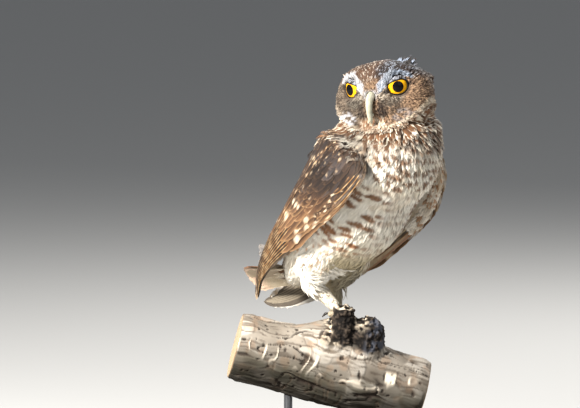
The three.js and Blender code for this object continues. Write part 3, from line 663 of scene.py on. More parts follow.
# ---------------------------------------------------------------- the lie of the coat
def flow(p, n, lab):
    """Which way the feathers lie, as a unit vector in the surface."""
    t, ell, phi, rad, idx = trunk_coords(p)
    d = np.zeros_like(p)
    d[:, 1:] = -axis_d[idx]
    # over the breast they part a little from the middle
    lat = np.pi - np.abs(phi)
    d[:, 0] += np.sign(p[:, 0]) * 0.18 * smooth(lat, 0.0, 0.5) * smooth(lat, 1.8, 1.0)
    h = head_local(p)
    out = h - np.array([0, 30.0, 3.0])
    out = out @ HR.T
    k = smooth(h[:, 2], -26, -12) * smooth(t, 0.9, 0.97)
    k = np.where(lab == REGION["head"], np.maximum(k, smooth(h[:, 2], -24, -14)), 0)
    d = d * (1 - k)[:, None] + unit(out) * k[:, None]
    for s in (1, -1):
        look, right, up = eye_axes(s)
        e = h - eye_centre(s)
        radial = (e @ right)[:, None] * right + (e @ up)[:, None] * up
        rr = np.linalg.norm(radial, axis=1)
        w = smooth(rr, 17, 8) * smooth(e @ look, 0, 5) * (lab == REGION["head"])
        d = d * (1 - 0.6 * w)[:, None] + (unit(radial) @ HR.T) * (0.6 * w)[:, None]
    for name, foot in (("left", (9, 11, -2)), ("right", (-3, -3, -1))):
        here = np.isin(lab, [REGION["thigh_" + name], REGION["tarsus_" + name]])
        down = unit(np.array(foot) - np.array((14 if name == "left" else -14, 15, 24.0)))
        d[here] = down
    tl = lab == REGION["tail"]
    d[tl] = unit(np.array([-1.0, 60, -12]))
    for s, name in ((1, "wing_left"), (-1, "wing_right")):
        here = np.where(lab == REGION[name])[0]
        tree, P, D_ = WING_GRID[s]
        for i in here:
            hit = tree.find_nearest(Vector(p[i]))
            d[i] = D_[(hit[2] // 23) * 24 + hit[2] % 23]
    d = d - n * (d * n).sum(-1, keepdims=True)
    return unit(d)


def sample(mask, spacing, seed):
    """Evenly spread points on the skin where mask holds: triangle index and weights."""
    r = np.random.default_rng(seed)
    ids = np.where(mask)[0]
    if not len(ids):
        return np.zeros(0, int), np.zeros((0, 3))
    area = FA[ids]
    count = int(area.sum() / (spacing * spacing) * 5) + 10
    tri = r.choice(ids, count, p=area / area.sum())
    u, v = r.random(count), r.random(count)
    su = np.sqrt(u)
    w = np.stack([1 - su, su * (1 - v), su * v], 1)
    p = (OV[SKF[tri]] * w[..., None]).sum(1)
    cell = np.floor(p / spacing).astype(int)
    grid, keep = {}, []
    lim = spacing * spacing
    for i in range(count):
        cx, cy, cz = cell[i]
        x, y, z = p[i]
        ok = True
        for dx in (-1, 0, 1):
            for dy in (-1, 0, 1):
                for dz in (-1, 0, 1):
                    for j in grid.get((cx + dx, cy + dy, cz + dz), ()):
                        b = p[j]
                        if (x - b[0]) ** 2 + (y - b[1]) ** 2 + (z - b[2]) ** 2 < lim:
                            ok = False
                            break
                    if not ok:
                        break
                if not ok:
                    break
            if not ok:
                break
        if ok:
            grid.setdefault((cx, cy, cz), []).append(i)
            keep.append(i)
    return tri[keep], w[keep]


def project(points, fallback):
    pos, nor, tri = np.empty_like(points), np.empty_like(points), np.empty(len(points), int)
    for i, q in enumerate(points):
        hit = outer_tree.find_nearest(Vector(q), 14.0)
        if hit[0] is None:
            pos[i], nor[i], tri[i] = q, fallback[i], 0
        else:
            pos[i], nor[i], tri[i] = hit[0], FN[hit[2]], hit[2]
    return pos, nor, tri


PIECES = []


def lay_feathers(name, tri, w, spec, colour, seed, turn=None, extra_lift=None):
    """Feathers made of separate barbs, rooted in the skin and bent to the body."""
    r = np.random.default_rng(seed)
    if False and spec.get("thin", True):
        sel = r.random(len(tri)) < 0.6
        tri, w = tri[sel], w[sel]
    n = len(tri)
    if not n:
        return None
    p0 = (OV[SKF[tri]] * w[..., None]).sum(1)
    nn = unit((ON[SKF[tri]] * w[..., None]).sum(1))
    depth = (DEPTH[SKF[tri]] * w).sum(1)
    lab = FLAB[tri]
    uv0 = (UVF[tri] * w[..., None]).sum(1)
    d = flow(p0, nn, lab)
    ang = r.normal(0, spec.get("messy", 0.12), n)
    if turn is not None:
        ang = ang + turn
    side = np.cross(nn, d)
    d = d * np.cos(ang)[:, None] + side * np.sin(ang)[:, None]
    length = spec["L"] * r.uniform(0.85, 1.18, n)
    if "L_of" in spec:
        length = length * spec["L_of"](p0, lab)
    width = spec["W"] * length / spec["L"] * r.uniform(0.9, 1.12, n)
    c1, n1, t1 = project(p0 + d * (length * 0.5)[:, None], nn)
    far = np.linalg.norm(c1 - p0, axis=1) > length * 0.75
    c1[far] = (p0 + d * (length * 0.5)[:, None])[far]
    n1[far] = nn[far]
    d1 = unit(d - n1 * (d * n1).sum(-1, keepdims=True))
    c2, n2, t2 = project(c1 + d1 * (length * 0.5)[:, None], n1)
    far = np.linalg.norm(c2 - c1, axis=1) > length * 0.75
    c2[far] = (c1 + d1 * (length * 0.5)[:, None])[far]
    n2[far] = n1[far]
    lift = spec.get("lift", 0.4) * r.uniform(0.3, 1.6, n)
    if "lift_of" in spec:
        lift = lift + spec["lift_of"](p0, lab) * r.uniform(0.5, 1.3, n)
    if extra_lift is not None:
        lift = lift + extra_lift
    s0, s1 = unit(np.cross(nn, d)), unit(np.cross(n1, d1))
    d2 = unit(c2 - c1)
    s2 = unit(np.cross(n2, d2))
    m, rows = spec["m"], spec.get("rows", 4)
    aj = (2 * (np.arange(m) + 0.5) / m - 1)[None, :]  # (1,m)
    end = 1 - 0.24 * aj**2 + r.normal(0, spec.get("fray", 0.05), (n, m))
    start = np.clip(0.10 + 0.12 * np.abs(aj), 0, 0.4) * np.ones((n, 1))
    k = np.linspace(0, 1, rows)
    q = start[..., None] + (end - start)[..., None] * k  # (n,m,rows)
    shape = np.clip((q / 0.45), 0, 1) ** 0.6 * (1 - 0.35 * smooth(q, 0.7, 1.05))
    lat = aj[..., None] * shape + r.normal(0, 0.03, (n, m))[..., None] * q
    taper = np.interp(np.linspace(0, 1, rows), [0, 0.4, 0.75, 1], [1.0, 1.05, 0.85, 0.2])
    bw = (width / m * 0.62)[:, None, None] * taper[None, None]
    l0, l1, l2 = (1 - q) * (1 - 2 * q), 4 * q * (1 - q), q * (2 * q - 1)
    ctr = l0[..., None] * p0[:, None, None] + l1[..., None] * c1[:, None, None] + l2[..., None] * c2[:, None, None]
    sd = unit((1 - q)[..., None] * s0[:, None, None] + q[..., None] * (s2 if True else s1)[:, None, None])
    up = unit((1 - q)[..., None] * nn[:, None, None] + q[..., None] * n2[:, None, None])
    half = (width * 0.5)[:, None, None]
    h = -depth[:, None, None] * (1 - smooth(q, 0.0, 0.85)) + lift[:, None, None] * smooth(q, 0.3, 1.0)
    h = h - spec.get("camber", 0.16) * half * lat**2 + r.normal(0, 0.07, (n, m))[..., None] * spec.get("rough", 1.0)
    h = h + spec.get("curl", 0.0) * half * smooth(q, 0.75, 1.0)
    mid = ctr + sd * (half * lat)[..., None] + up * h[..., None]
    barb = sd * bw[..., None]
    tilt = up * (bw * 0.35 * np.sign(aj + 1e-6)[..., None])[..., None]
    left, right = mid + barb - tilt, mid - barb + tilt
    verts = np.stack([left, right], 3)  # (n,m,rows,2,3)
    flat = verts.reshape(-1, 3)
    qq = np.broadcast_to(q[..., None], verts.shape[:-1])
    aa = np.broadcast_to((lat)[..., None], verts.shape[:-1])
    rr = np.broadcast_to(r.random(n)[:, None, None, None], verts.shape[:-1])
    # the coat carries the skin's markings: they are read under each barb, at the outer surface
    base = ctr + sd * (half * lat)[..., None]
    base = np.broadcast_to(base[..., None, :], verts.shape)
    col = colour(base.reshape(-1, 3), qq.ravel(), aa.ravel(), rr.ravel())
    tone = 1 + r.normal(0, spec.get("tone", 0.06), (n, m))
    tone = np.broadcast_to(tone[..., None, None], verts.shape[:-1]).ravel()
    # painted shade: each barb darker towards its root, under the feathers above
    root_shade = 0.62 + 0.38 * smooth(qq.ravel(), 0.05, 0.45)
    col = col * (tone * root_shade)[:, None]
    fuv = np.stack([(qq * length[:, None, None, None]).ravel(), (aa * half[..., None]).ravel(), rr.ravel()], 1)
    uv = uv0[:, None, None, None, :] + 0.0014 * np.stack([aa, qq * 2 - 1], -1)
    uv = np.clip(uv, 0.002, 0.998).reshape(-1, 2)
    i = np.arange(n * m)[:, None] * (rows * 2) + (np.arange(rows - 1) * 2)[None]
    i = i.ravel()
    faces = np.stack([i, i + 1, i + 3, i + 2], 1)
    ob = new_object(name, flat, faces, colour=col, fuv=fuv, uv=uv)
    PIECES.append(ob)
    return ob


# ---------------------------------------------------------------- coat over head, body and legs
ft, fell, fphi, frad, _ = trunk_coords(FC)
flat_ = math.pi - np.abs(fphi)
fh = head_local(FC)
is_head = FLAB == REGION["head"]
is_body = np.isin(FLAB, [REGION["neck"], REGION["trunk"]])
is_thigh = np.isin(FLAB, [REGION["thigh_left"], REGION["thigh_right"]])
is_tars = np.isin(FLAB, [REGION["tarsus_left"], REGION["tarsus_right"]])
is_wing = np.isin(FLAB, [REGION["wing_left"], REGION["wing_right"]])
is_tail = FLAB == REGION["tail"]
in_eye = np.zeros(len(FC), bool)
near_bill = (np.abs(fh[:, 0]) < 2.6) & (fh[:, 1] > 22) & (fh[:, 2] < 6) & (fh[:, 2] > -14) & is_head
for k in (1, -1):
    look, right, up = eye_axes(k)
    e = fh - eye_centre(k)
    in_eye |= (np.hypot((e @ right) / 7.9, (e @ up) / np.where(e @ up > 0, 5.5, 6.0)) < 1) & ((e @ look) > 1)
neck_of_head = is_head & (((disc(fh) > 1.02) & (fh[:, 2] < 6)) | (fh[:, 2] < -20))
face = is_head & (fh[:, 1] > 6) & ~neck_of_head
crown = is_head & ~face & ~neck_of_head


def coat_colour(p, q, a, r):
    """Head above, body below, blended at the collar."""
    h = head_local(p)
    k = smooth(h[..., 2], -24, -17)
    return mix(body_colour(p, q, a, r), head_colour(p, q, a, r), k)


def bump(d, w):
    return np.clip(1 - (np.asarray(d) / w) ** 2, 0, 1) ** 2


def face_lift(p, lab):
    """The brows stand out over the eyes and the disc's rim stands clear of the collar."""
    h = head_local(p)
    out = 0.9 * bump(disc(h) - 0.93, 0.13) * smooth(h[:, 2], 12, 0)
    for k in (1, -1):
        look, right, up = eye_axes(k)
        d = h - eye_centre(k)
        s_, v_ = (d @ right) * k, d @ up
        out = out + 2.0 * bump(v_ - 7.8, 2.8) * smooth(np.abs(s_), 12, 8) * smooth(d @ look, 0, 3)
    return out + 1.1 * bump(np.hypot(h[:, 0] / 8, (h[:, 2] + 2) / 9), 1.0) * smooth(h[:, 1], 20, 25)


def crown_lift(p, lab):
    h = head_local(p)
    top = bump(np.linalg.norm(h - np.array([-15, -6, 24]), axis=1), 8.0)
    side = bump(np.linalg.norm(h - np.array([-31, -12, 12]), axis=1), 8.0)
    return 5.2 * top + 3.2 * side


def collar_lift(p, lab):
    h = head_local(p)
    left_side = smooth(h[:, 0], 12, 26) * smooth(h[:, 2], -16, -24)
    return 1.3 * left_side + 0.9 * smooth(h[:, 0], -14, -26) * smooth(h[:, 2], -8, -20)


def breast_lift(p, lab):
    """A ruffled parting on the bird's left of the throat, and the flank's skirt over the thigh."""
    d1 = bump(np.linalg.norm(p - np.array([16, -84, 128]), axis=1), 15)
    t, ell, phi, rad, _ = trunk_coords(p)
    lat = math.pi - np.abs(phi)
    skirt = bump(t - 0.40, 0.16) * smooth(lat, 0.45, 0.9) * smooth(lat, 2.2, 1.6)
    return 3.0 * d1 + 1.8 * skirt


tri, w = sample(face & ~in_eye & ~near_bill, 1.05, 1)
lay_feathers("coat_face", tri, w, dict(L=4.4, W=1.7, m=4, rows=4, lift=0.3, messy=0.16, fray=0.1, camber=0.1, tone=0.12, lift_of=face_lift), coat_colour, 101)
tri, w = sample(crown, 1.55, 2)
lay_feathers("coat_crown", tri, w, dict(L=7.6, W=3.2, m=5, rows=5, lift=0.45, messy=0.18, fray=0.1, tone=0.12, lift_of=crown_lift), coat_colour, 102)
tri, w = sample((is_body & (ft > 0.86)) | neck_of_head, 2.15, 3)
lay_feathers("coat_collar", tri, w, dict(L=10.5, W=5.4, m=8, rows=5, lift=1.2, messy=0.26, fray=0.1, tone=0.12, curl=0.2, lift_of=collar_lift), coat_colour, 103)
tri, w = sample(is_body & (ft <= 0.86) & (ft > 0.47) & (flat_ < 2.0), 2.5, 4)
lay_feathers("coat_breast", tri, w, dict(L=14, W=6.8, m=8, rows=8, lift=0.9, messy=0.15, fray=0.1, tone=0.07, lift_of=breast_lift), coat_colour, 104)
tri, w = sample(is_body & (ft <= 0.47) & (flat_ < 2.2), 2.2, 5)
lay_feathers("coat_belly", tri, w, dict(L=15, W=4.6, m=7, rows=6, lift=1.0, messy=0.18, fray=0.16, tone=0.05, lift_of=breast_lift), coat_colour, 105)
tri, w = sample(is_body & (ft <= 0.86) & (((flat_ >= 2.0) & (ft > 0.47)) | (flat_ >= 2.2)), 3.3, 6)
lay_feathers("coat_back", tri, w, dict(L=15, W=9.0, m=12, rows=6, lift=0.6, messy=0.12, fray=0.06, tone=0.07), coat_colour, 106)


def thigh_length(p, lab):
    return 0.8 + 0.6 * smooth(p[:, 2], 46, 34)


def thigh_lift(p, lab):
    return 2.2 * smooth(p[:, 2], 48, 34)


def thigh_colour(p, q, a, r):
    out = mix(WHITE, srgb(206, 198, 186), 0.5 * noise(p, 3, 12))
    # painted shade: the bird's left thigh duller and darker cream
    return mix(out, srgb(172, 159, 130), 0.85 * smooth(p[..., 0], -2, 3))


tri, w = sample(is_thigh & (FC[:, 2] > 29), 1.5, 7)
lay_feathers("coat_thighs", tri, w, dict(L=12, W=2.4, m=5, rows=5, lift=0.9, messy=0.3, fray=0.18, tone=0.05, L_of=thigh_length, lift_of=thigh_lift), thigh_colour, 107)
tri, w = sample(is_tars | (is_thigh & (FC[:, 2] <= 34)), 0.95, 8)
lay_feathers("coat_tarsi", tri, w, dict(L=3.6, W=1.0, m=3, rows=3, lift=0.3, messy=0.22, fray=0.12, tone=0.1), leg_colour, 108)


# ---------------------------------------------------------------- vanes: wing and tail feathers laid on the solids
def vane(fr, w, layer, nq, na, tip=0.16, curve=None, tilt=0.35, blunt=2.0, rough=0.0, seed=0):
    """One feather as a cambered sheet. fr(q) gives centre, normal, along, across for each q."""
    r = np.random.default_rng(seed)
    q = 1 - (1 - np.linspace(0, 1, nq)) ** 1.25
    c, n, d, l = fr(q)
    a = np.linspace(-1, 1, na)
    e = np.clip((q - (1 - tip)) / tip, 0, 1)
    shp = np.clip(q / 0.12, 0.12, 1) ** 0.5 * np.clip(1 - e**blunt, 0, 1) ** 0.5
    half = w * 0.5 * shp
    jag = 1 + rough * r.normal(0, 1, (nq, 1)) * (np.abs(a) > 0.8)[None]
    lat = half[:, None] * a[None] * jag
    h = layer + tilt * a[None] * np.minimum(1, half[:, None] / 3) - 0.035 * (lat**2) / max(w, 1e-6) * 4
    h = h + 0.22 * np.exp(-((lat / 0.5) ** 2)) * (1 - 0.7 * q[:, None])  # the shaft
    p = c[:, None] + l[:, None] * lat[..., None] + n[:, None] * h[..., None]
    # barbs at the end run on a little, unevenly
    p = p + d[:, None] * (r.normal(0, 0.25, (1, na)) * smooth(q, 1 - tip, 1)[:, None])[..., None]
    i = (np.arange(nq - 1)[:, None] * na + np.arange(na - 1)[None]).ravel()
    f = np.stack([i, i + 1, i + na + 1, i + na], 1)
    return p.reshape(-1, 3), f, np.repeat(q, na), np.tile(a, nq), lat.ravel()


class Vanes:
    """Gathers many vanes into one piece, each with its own square of the map."""

    def __init__(self, name, total):
        self.name, self.total = name, total
        self.v, self.f, self.c, self.fu, self.uv = [], [], [], [], []
        self.count = self.n = 0
        self.cols = math.ceil(math.sqrt(total * 1.0))

    def add(self, made, length, w, colour, rnd):
        p, f, q, a, lat = made
        self.v.append(p)
        self.f.append(f + self.n)
        self.n += len(p)
        self.c.append(colour(p, q, a, rnd, length, w))
        self.fu.append(np.stack([q * length, lat, np.full(len(q), rnd)], 1))
        k = self.count
        self.count += 1
        cx, cy = k % self.cols, k // self.cols
        s = 1.0 / self.cols
        u = (cx + 0.5 + 0.44 * a) * s
        v = (cy + 0.04 + 0.92 * q) * s
        self.uv.append(np.stack([u, v], 1))

    def done(self):
        if not self.v:
            return None
        ob = new_object(
            self.name, np.concatenate(self.v), np.concatenate(self.f), colour=np.concatenate(self.c),
            fuv=np.concatenate(self.fu), uv=np.concatenate(self.uv),
        )
        PIECES.append(ob)
        return ob


TOP = 3.8  # the uppermost layer, which lies at the solid's surface


def wing_path(side, s0, c0, s1, c1, layer, under=False):
    """A feather's own line from one place on the wing to another, sunk by its layer under the solid's surface."""

    def fr(q):
        s = s0 + (s1 - s0) * q
        c = c0 + (c1 - c0) * q
        p, n, ds, lead = wing_frame(side, s, np.clip(c, 0.0, 1))
        half = wing_half(s, c)
        sunk = np.minimum(0.35 + 1.75 * (1 - smooth(s, 0.45, 0.75)), 0.35 + 0.62 * half) * (1 - min(layer, TOP) / TOP)
        d = unit(np.gradient(p, axis=0))
        l = unit(np.cross(d, n))
        l = np.where((l * lead).sum(-1, keepdims=True) < 0, -l, l)
        sgn = -1.0 if under else 1.0
        drop = 0.8 * (1 - smooth(q, 0.0, 0.3))
        return p + n * (sgn * (half - 0.15 - sunk - drop))[:, None], n * sgn, d, l

    return fr


def path_length(fr):
    c = fr(np.linspace(0, 1, 12))[0]
    return float(np.linalg.norm(np.diff(c, axis=0), axis=1).sum())


# a painted shade line where the right wing's feathers part, with a painted glint beside it
SLIT_SHADE_A = wing_frame(-1, np.array([0.12]), np.array([0.16]))[0][0]
SLIT_SHADE_B = wing_frame(-1, np.array([0.28]), np.array([0.30]))[0][0]
GLINT_A = wing_frame(-1, np.array([0.13]), np.array([0.11]))[0][0]
GLINT_B = wing_frame(-1, np.array([0.25]), np.array([0.23]))[0][0]


def shoulder_shade(p):
    """Dark over the shoulder, golden brown lower down."""
    return smooth(p[..., 2], 72, 102) * (0.7 + 0.3 * noise(p, 14, 60))


def slit(p, a=SLIT_SHADE_A, b=SLIT_SHADE_B, wide=2.2):
    ab = b - a
    k = np.clip(((p - a) @ ab) / (ab @ ab), 0, 1)
    return 1 - smooth(np.linalg.norm(p - a - k[..., None] * ab, axis=-1), wide * 0.6, wide * 1.5)


def wing_base(p, rnd):
    n = noise(p, 5, 61)
    base = mix(srgb(98, 68, 45), srgb(66, 47, 34), n)
    base = mix(base, srgb(23, 19, 18), 0.95 * shoulder_shade(p))
    # some shoulder feathers grey-blue: part feather colour, part painted sheen
    base = mix(base, srgb(100, 102, 108), 0.14 * shoulder_shade(p) * (hash01(int(rnd * 1e6), 2) > 0.7))
    base = base * (0.68 + 0.64 * hash01(int(rnd * 1e6), 1))
    # painted shade in the parting of the right wing's feathers
    base = mix(base, srgb(18, 17, 22), 0.95 * slit(p) * (p[..., 0] < 0))
    return mix(base, srgb(126, 130, 146), 0.6 * slit(p, GLINT_A, GLINT_B, 1.5) * (p[..., 0] < 0))


def dots(along, across, length, w, rnd, chance, size, backs=(0.22,)):
    """Round pale spots, one or two to a feather, no two feathers alike."""
    out = np.zeros(len(along))
    for k, back in enumerate(backs):
        for j, s in enumerate((-1, 1)):
            g = lambda m: float(hash01(int(rnd * 1e6), k * 7 + j * 3 + m, 5))
            if g(0) > chance:
                continue
            sz = size * (0.65 + 0.6 * g(1))
            c = s * (0.24 + 0.14 * g(2)) * w
            d = np.hypot((along - length * (1 - back - 0.08 * g(3))) / (sz * 1.2), (across - c) / sz)
            out = np.maximum(out, (1 - smooth(d, 0.6, 1.25)) * (0.6 + 0.4 * g(4)))
    return out


def covert_colour(p, q, a, rnd, length, w):
    """Brown, with pale round spots near the end and a paler tip."""
    base = wing_base(p, rnd)
    # painted shade: darker towards the root, where the feather above overlaps
    base = base * (0.66 + 0.34 * smooth(q, 0.4, 0.75))[..., None]
    base = mix(base, srgb(172, 134, 96), 0.5 * smooth(np.abs(a), 0.6, 1.0) * (1 - 0.8 * shoulder_shade(p)))
    n = noise(p, 6, 68)
    pale = mix(srgb(232, 218, 196), srgb(204, 176, 140), n)
    out = mix(base, pale, dots(q * length, a * w / 2, length, w, rnd, 0.7, min(2.5, 0.24 * w), (0.18, 0.52)))
    out = mix(out, srgb(176, 142, 104), 0.5 * smooth(q, 0.93, 1.0))
    return mix(out, DARK, 0.5 * np.exp(-((a * w * 0.5 / 0.3) ** 2)))


def lesser_colour(p, q, a, rnd, length, w):
    base = wing_base(p, rnd)
    edge_pale = bump_edge(p)
    pale = mix(srgb(204, 184, 158), srgb(170, 138, 104), noise(p, 5, 69))
    chance = 0.34
    out = mix(base, pale, dots(q * length, a * w / 2 + 0.25 * w, length, w, rnd, chance, 0.15 * w, (0.2,)) * (1 - 0.4 * shoulder_shade(p)))
    # painted shade: darker towards the root, where the feather above overlaps
    out = out * (0.62 + 0.38 * smooth(q, 0.35, 0.75))[..., None]
    out = mix(out, srgb(150, 114, 80), (0.55 * smooth(q, 0.86, 1.0) + 0.3 * smooth(np.abs(a), 0.65, 1.0)) * (1 - 0.85 * shoulder_shade(p)))
    return mix(out, mix(srgb(220, 214, 206), srgb(188, 158, 122), smooth(noise(p * [1, 1, 0.45], 2.6, 70), 0.3, 0.7)), edge_pale)


EDGE = {k: wing_middle(k, np.linspace(0, 0.56 if k > 0 else 0.34, 40), np.full(40, 0.0)) for k in (1, -1)}


def bump_edge(p):
    """The wing's bend is edged with whitish."""
    side = 1 if np.mean(p[..., 0]) > 0 else -1
    d = np.linalg.norm(p[..., None, :] - EDGE[side], axis=-1).min(-1)
    if side > 0:
        return 0.85 * (1 - smooth(d, 6.0, 17.0)) * (0.5 + 0.5 * smooth(noise(p * [1, 1, 0.45], 2.6, 74), 0.25, 0.5))
    return 0.12 * (1 - smooth(d, 2.0, 6.5)) * smooth(noise(p, 3.2, 74), 0.35, 0.6)


def scapular_colour(p, q, a, rnd, length, w):
    base = wing_base(p, rnd)
    pale = mix(srgb(216, 194, 164), srgb(184, 146, 106), noise(p, 5, 75))
    # painted shade: darker towards the root, where the feather above overlaps
    base = base * (0.66 + 0.34 * smooth(q, 0.4, 0.75))[..., None]
    out = mix(base, srgb(170, 126, 84), 0.6 * smooth(np.abs(a), 0.5, 0.95) * (1 - 0.75 * shoulder_shade(p)))
    out = mix(out, pale, dots(q * length, a * w / 2, length, w, rnd, 0.55, 0.16 * w, (0.12, 0.42, 0.7)) * (1 - 0.35 * shoulder_shade(p)))
    return mix(out, DARK, 0.5 * np.exp(-((a * w * 0.5 / 0.3) ** 2)))


def flight_colour(p, q, a, rnd, length, w):
    """Brown, each with a narrow golden edge and pale notches along it."""
    along = q * length
    n = noise(p, 5, 63)
    base = mix(srgb(30, 22, 17), srgb(68, 48, 33), 0.3 + 0.5 * n) * (0.8 + 0.4 * hash01(int(rnd * 1e6), 3))
    phase = (along / 11.5 + 0.7 * rnd) % 1.0
    bar = smooth(np.abs(phase - 0.5), 0.30, 0.16)
    out = mix(base, srgb(150, 112, 74), 0.22 * bar * smooth(a, 0.35, 0.6))
    out = mix(out, srgb(28, 20, 16), 0.9 * smooth(np.abs(a - 0.66), 0.26, 0.12) * (1 - 0.2 * bar))
    out = mix(out, mix(srgb(180, 132, 78), srgb(204, 170, 126), bar), (0.6 + 0.2 * bar) * smooth(a, 0.86, 0.96))
    out = mix(out, srgb(176, 140, 100), 0.12 * bar * smooth(a, -0.2, -0.5))
    out = mix(out, srgb(214, 190, 158), 0.6 * smooth(q, 0.97, 1.0))
    return mix(out, srgb(140, 104, 70), 0.6 * np.exp(-((a * w * 0.5 / 0.4) ** 2)))


def under_colour(p, q, a, rnd, length, w):
    """Underside of the flight feathers: grey-brown, with pale blotches on the outer edge and a pale shaft."""
    along = q * length
    n = noise(p, 7, 64)
    base = mix(srgb(64, 57, 49), srgb(86, 77, 66), n)
    phase = (along / 13.0 + 0.35 * rnd) % 1.0
    bar = smooth(np.abs(phase - 0.5), 0.20, 0.08)
    out = mix(base, srgb(192, 174, 144), 0.35 * bar * smooth(a, 0.5, 0.8) * smooth(q, 0.9, 0.7))
    out = mix(out, srgb(168, 120, 72), 0.55 * smooth(a, 0.88, 1.0) * smooth(q, 0.9, 0.6))
    out = mix(out, srgb(186, 172, 148), 0.4 * np.exp(-((a * w * 0.5 / 0.4) ** 2)))
    return mix(out, srgb(188, 172, 146), 0.6 * smooth(q, 0.35, 0.05))


def lining_colour(p, q, a, rnd, length, w):
    n = noise(p, 4, 65)
    high = smooth(p[..., 2], 60, 95)
    out = mix(mix(srgb(196, 180, 154), srgb(168, 146, 118), n), mix(srgb(224, 218, 206), srgb(196, 186, 170), n), high)
    return mix(out, srgb(160, 112, 70), 0.6 * smooth(a, 0.75, 1.0) * (hash01(int(rnd * 1e6), 4) < 0.5))


for side, nm in ((1, "left"), (-1, "right")):
    flight = Vanes("flight_" + nm, 23)
    cov = Vanes("coverts_" + nm, 38)
    und = Vanes("underwing_" + nm, 113)
    lesser = Vanes("shoulder_" + nm, 216)
    # primaries: the outermost makes the leading edge, and the inner ones stop short of the tip
    for i in range(10):
        c0 = 0.06 + 0.030 * i
        c1 = 0.24 + 0.062 * i
        s1 = [0.965, 0.995, 1.0, 0.985, 0.965, 0.94, 0.915, 0.89, 0.87, 0.85][i]
        s0 = 0.20 + 0.012 * i
        fr = wing_path(side, s0, c0, s1, min(c1, 0.9), 0.15 + 0.13 * i)
        L = path_length(fr)
        w = 8.0 + 0.4 * i
        flight.add(vane(fr, w, 0.0, 60, 11, tip=0.22, seed=200 + i), L, w, flight_colour, rng.random())
        fr = wing_path(side, s0, c0, s1 - 0.004, min(c1, 0.92), 3.4 - 0.2 * i, under=True)
        und.add(vane(fr, w * 1.12, 0.0, 44, 9, tip=0.13, tilt=-0.1, seed=220 + i), L, w, under_colour, rng.random())
    # secondaries and tertials
    for i in range(13):
        k = i / 12
        s0, c0 = 0.24 + 0.10 * k, 0.30 + 0.58 * k
        s1, c1 = 0.865 - 0.10 * k, 0.36 + 0.58 * k
        fr = wing_path(side, s0, c0, s1, c1, 1.5 + 0.05 * i)
        L = path_length(fr)
        w = 11.5
        flight.add(vane(fr, w, 0.0, 48, 11, tip=0.14, seed=240 + i), L, w, flight_colour, rng.random())
        fr = wing_path(side, s0, c0, s1, c1, 1.2 - 0.05 * i, under=True)
        und.add(vane(fr, w, 0.0, 30, 7, tip=0.14, tilt=-0.3, seed=250 + i), L, w, under_colour, rng.random())
    # greater and median coverts
    for row, (s0, s1, cnt, w, lay) in enumerate(((0.26, 0.66, 12, 11.0, 2.2), (0.24, 0.56, 13, 10.0, 2.5), (0.20, 0.46, 13, 9.0, 2.8))):
        for i in range(cnt):
            k = (i + 0.35 * (row % 2)) / (cnt - 0.65)
            c0, c1 = 0.06 + 0.84 * k, 0.075 + 0.85 * k
            fr = wing_path(side, s0 + 0.02 * k, c0, s1 - 0.03 * k + 0.022 * rng.normal(), c1 + 0.012 * rng.normal(), lay + 0.02 * i)
            L = path_length(fr)
            cov.add(vane(fr, w * rng.uniform(0.9, 1.1), 0.0, 30, 9, tip=0.2, tilt=0.3, seed=260 + 20 * row + i, rough=0.04), L, w, covert_colour, rng.random())
    # lesser coverts, in overlapping rows
    for row in range(11):
        s_root = 0.315 - 0.032 * row
        cnt = 15
        for i in range(cnt):
            k = (i + 0.5 * (row % 2)) / cnt
            c0 = 0.05 + 0.90 * k + 0.012 * rng.normal()
            w = 7.4 * rng.uniform(0.85, 1.15)
            reach = 0.14 - 0.004 * row
            s0 = max(s_root, 0.0)
            fr = wing_path(side, s0, max(c0, 0), s0 + reach * rng.uniform(0.85, 1.15), max(c0 + 0.03 * rng.normal(), 0), 3.0 + 0.07 * row)
            L = path_length(fr)
            lesser.add(vane(fr, w, 0.05, 16, 7, tip=0.36, tilt=0.25, seed=300 + 20 * row + i, rough=0.05), L, w, lesser_colour, rng.random())
    # scapulars: longer spotted feathers along the back, over the inner edge
    for row in range(8):
        for i in range(6):
            c0 = 0.66 + 0.066 * i + 0.01 * rng.normal()
            s_root = 0.04 + 0.072 * row
            w = 9.0 * rng.uniform(0.88, 1.12)
            fr = wing_path(side, s_root, c0, s_root + 0.2 * rng.uniform(0.9, 1.1), c0 + 0.02 * rng.normal() - 0.01, 3.7 - 0.05 * row + 0.01 * i)
            L = path_length(fr)
            lesser.add(vane(fr, w, 0.1, 22, 9, tip=0.26, tilt=0.3, seed=500 + 10 * row + i, rough=0.04), L, w, scapular_colour, rng.random())
    # alula, low on the wrist
    for i in range(3):
        fr = wing_path(side, 0.13, 0.06 + 0.03 * i, 0.36 - 0.03 * i, 0.06 + 0.05 * i, 3.3 + 0.15 * i)
        L = path_length(fr)
        lesser.add(vane(fr, 6.5, 0.1, 26, 7, tip=0.2, seed=560 + i), L, 6.5, flight_colour, rng.random())
    # lining of the wing, on the inner side, close to the leading edge
    for row in range(15):
        for i in range(6):
            c0 = 0.10 + 0.07 * i
            s0 = 0.06 + 0.038 * row
            fr = wing_path(side, s0, c0, min(s0 + 0.11, 0.97), c0 + 0.01, 3.8 - 0.06 * row, under=True)
            L = path_length(fr)
            und.add(vane(fr, 8.0, 0.1, 14, 7, tip=0.35, seed=580 + 7 * row + i, tilt=-0.25, rough=0.04), L, 8.0, lining_colour, rng.random())
    flight.done()
    cov.done()
    und.done()
    lesser.done()


def tail_point(s, c):
    across = 2 * c - 1
    rows = {k: [np.array(v[0], float), np.array(v[1], float)] for k, v in TAIL.items()}
    f = lambda k: rows[k][0] + (rows[k][1] - rows[k][0]) * s[..., None]
    R_, M_, L_ = f("right"), f("middle"), f("left")
    v = M_ + across[..., None] * (L_ - R_) / 2 + (across**2)[..., None] * ((L_ + R_) / 2 - M_)
    v[..., 2] += 3 * np.sin(np.pi * c) * (1 - across**2) * s - 2 * s * (1 - s)
    return v


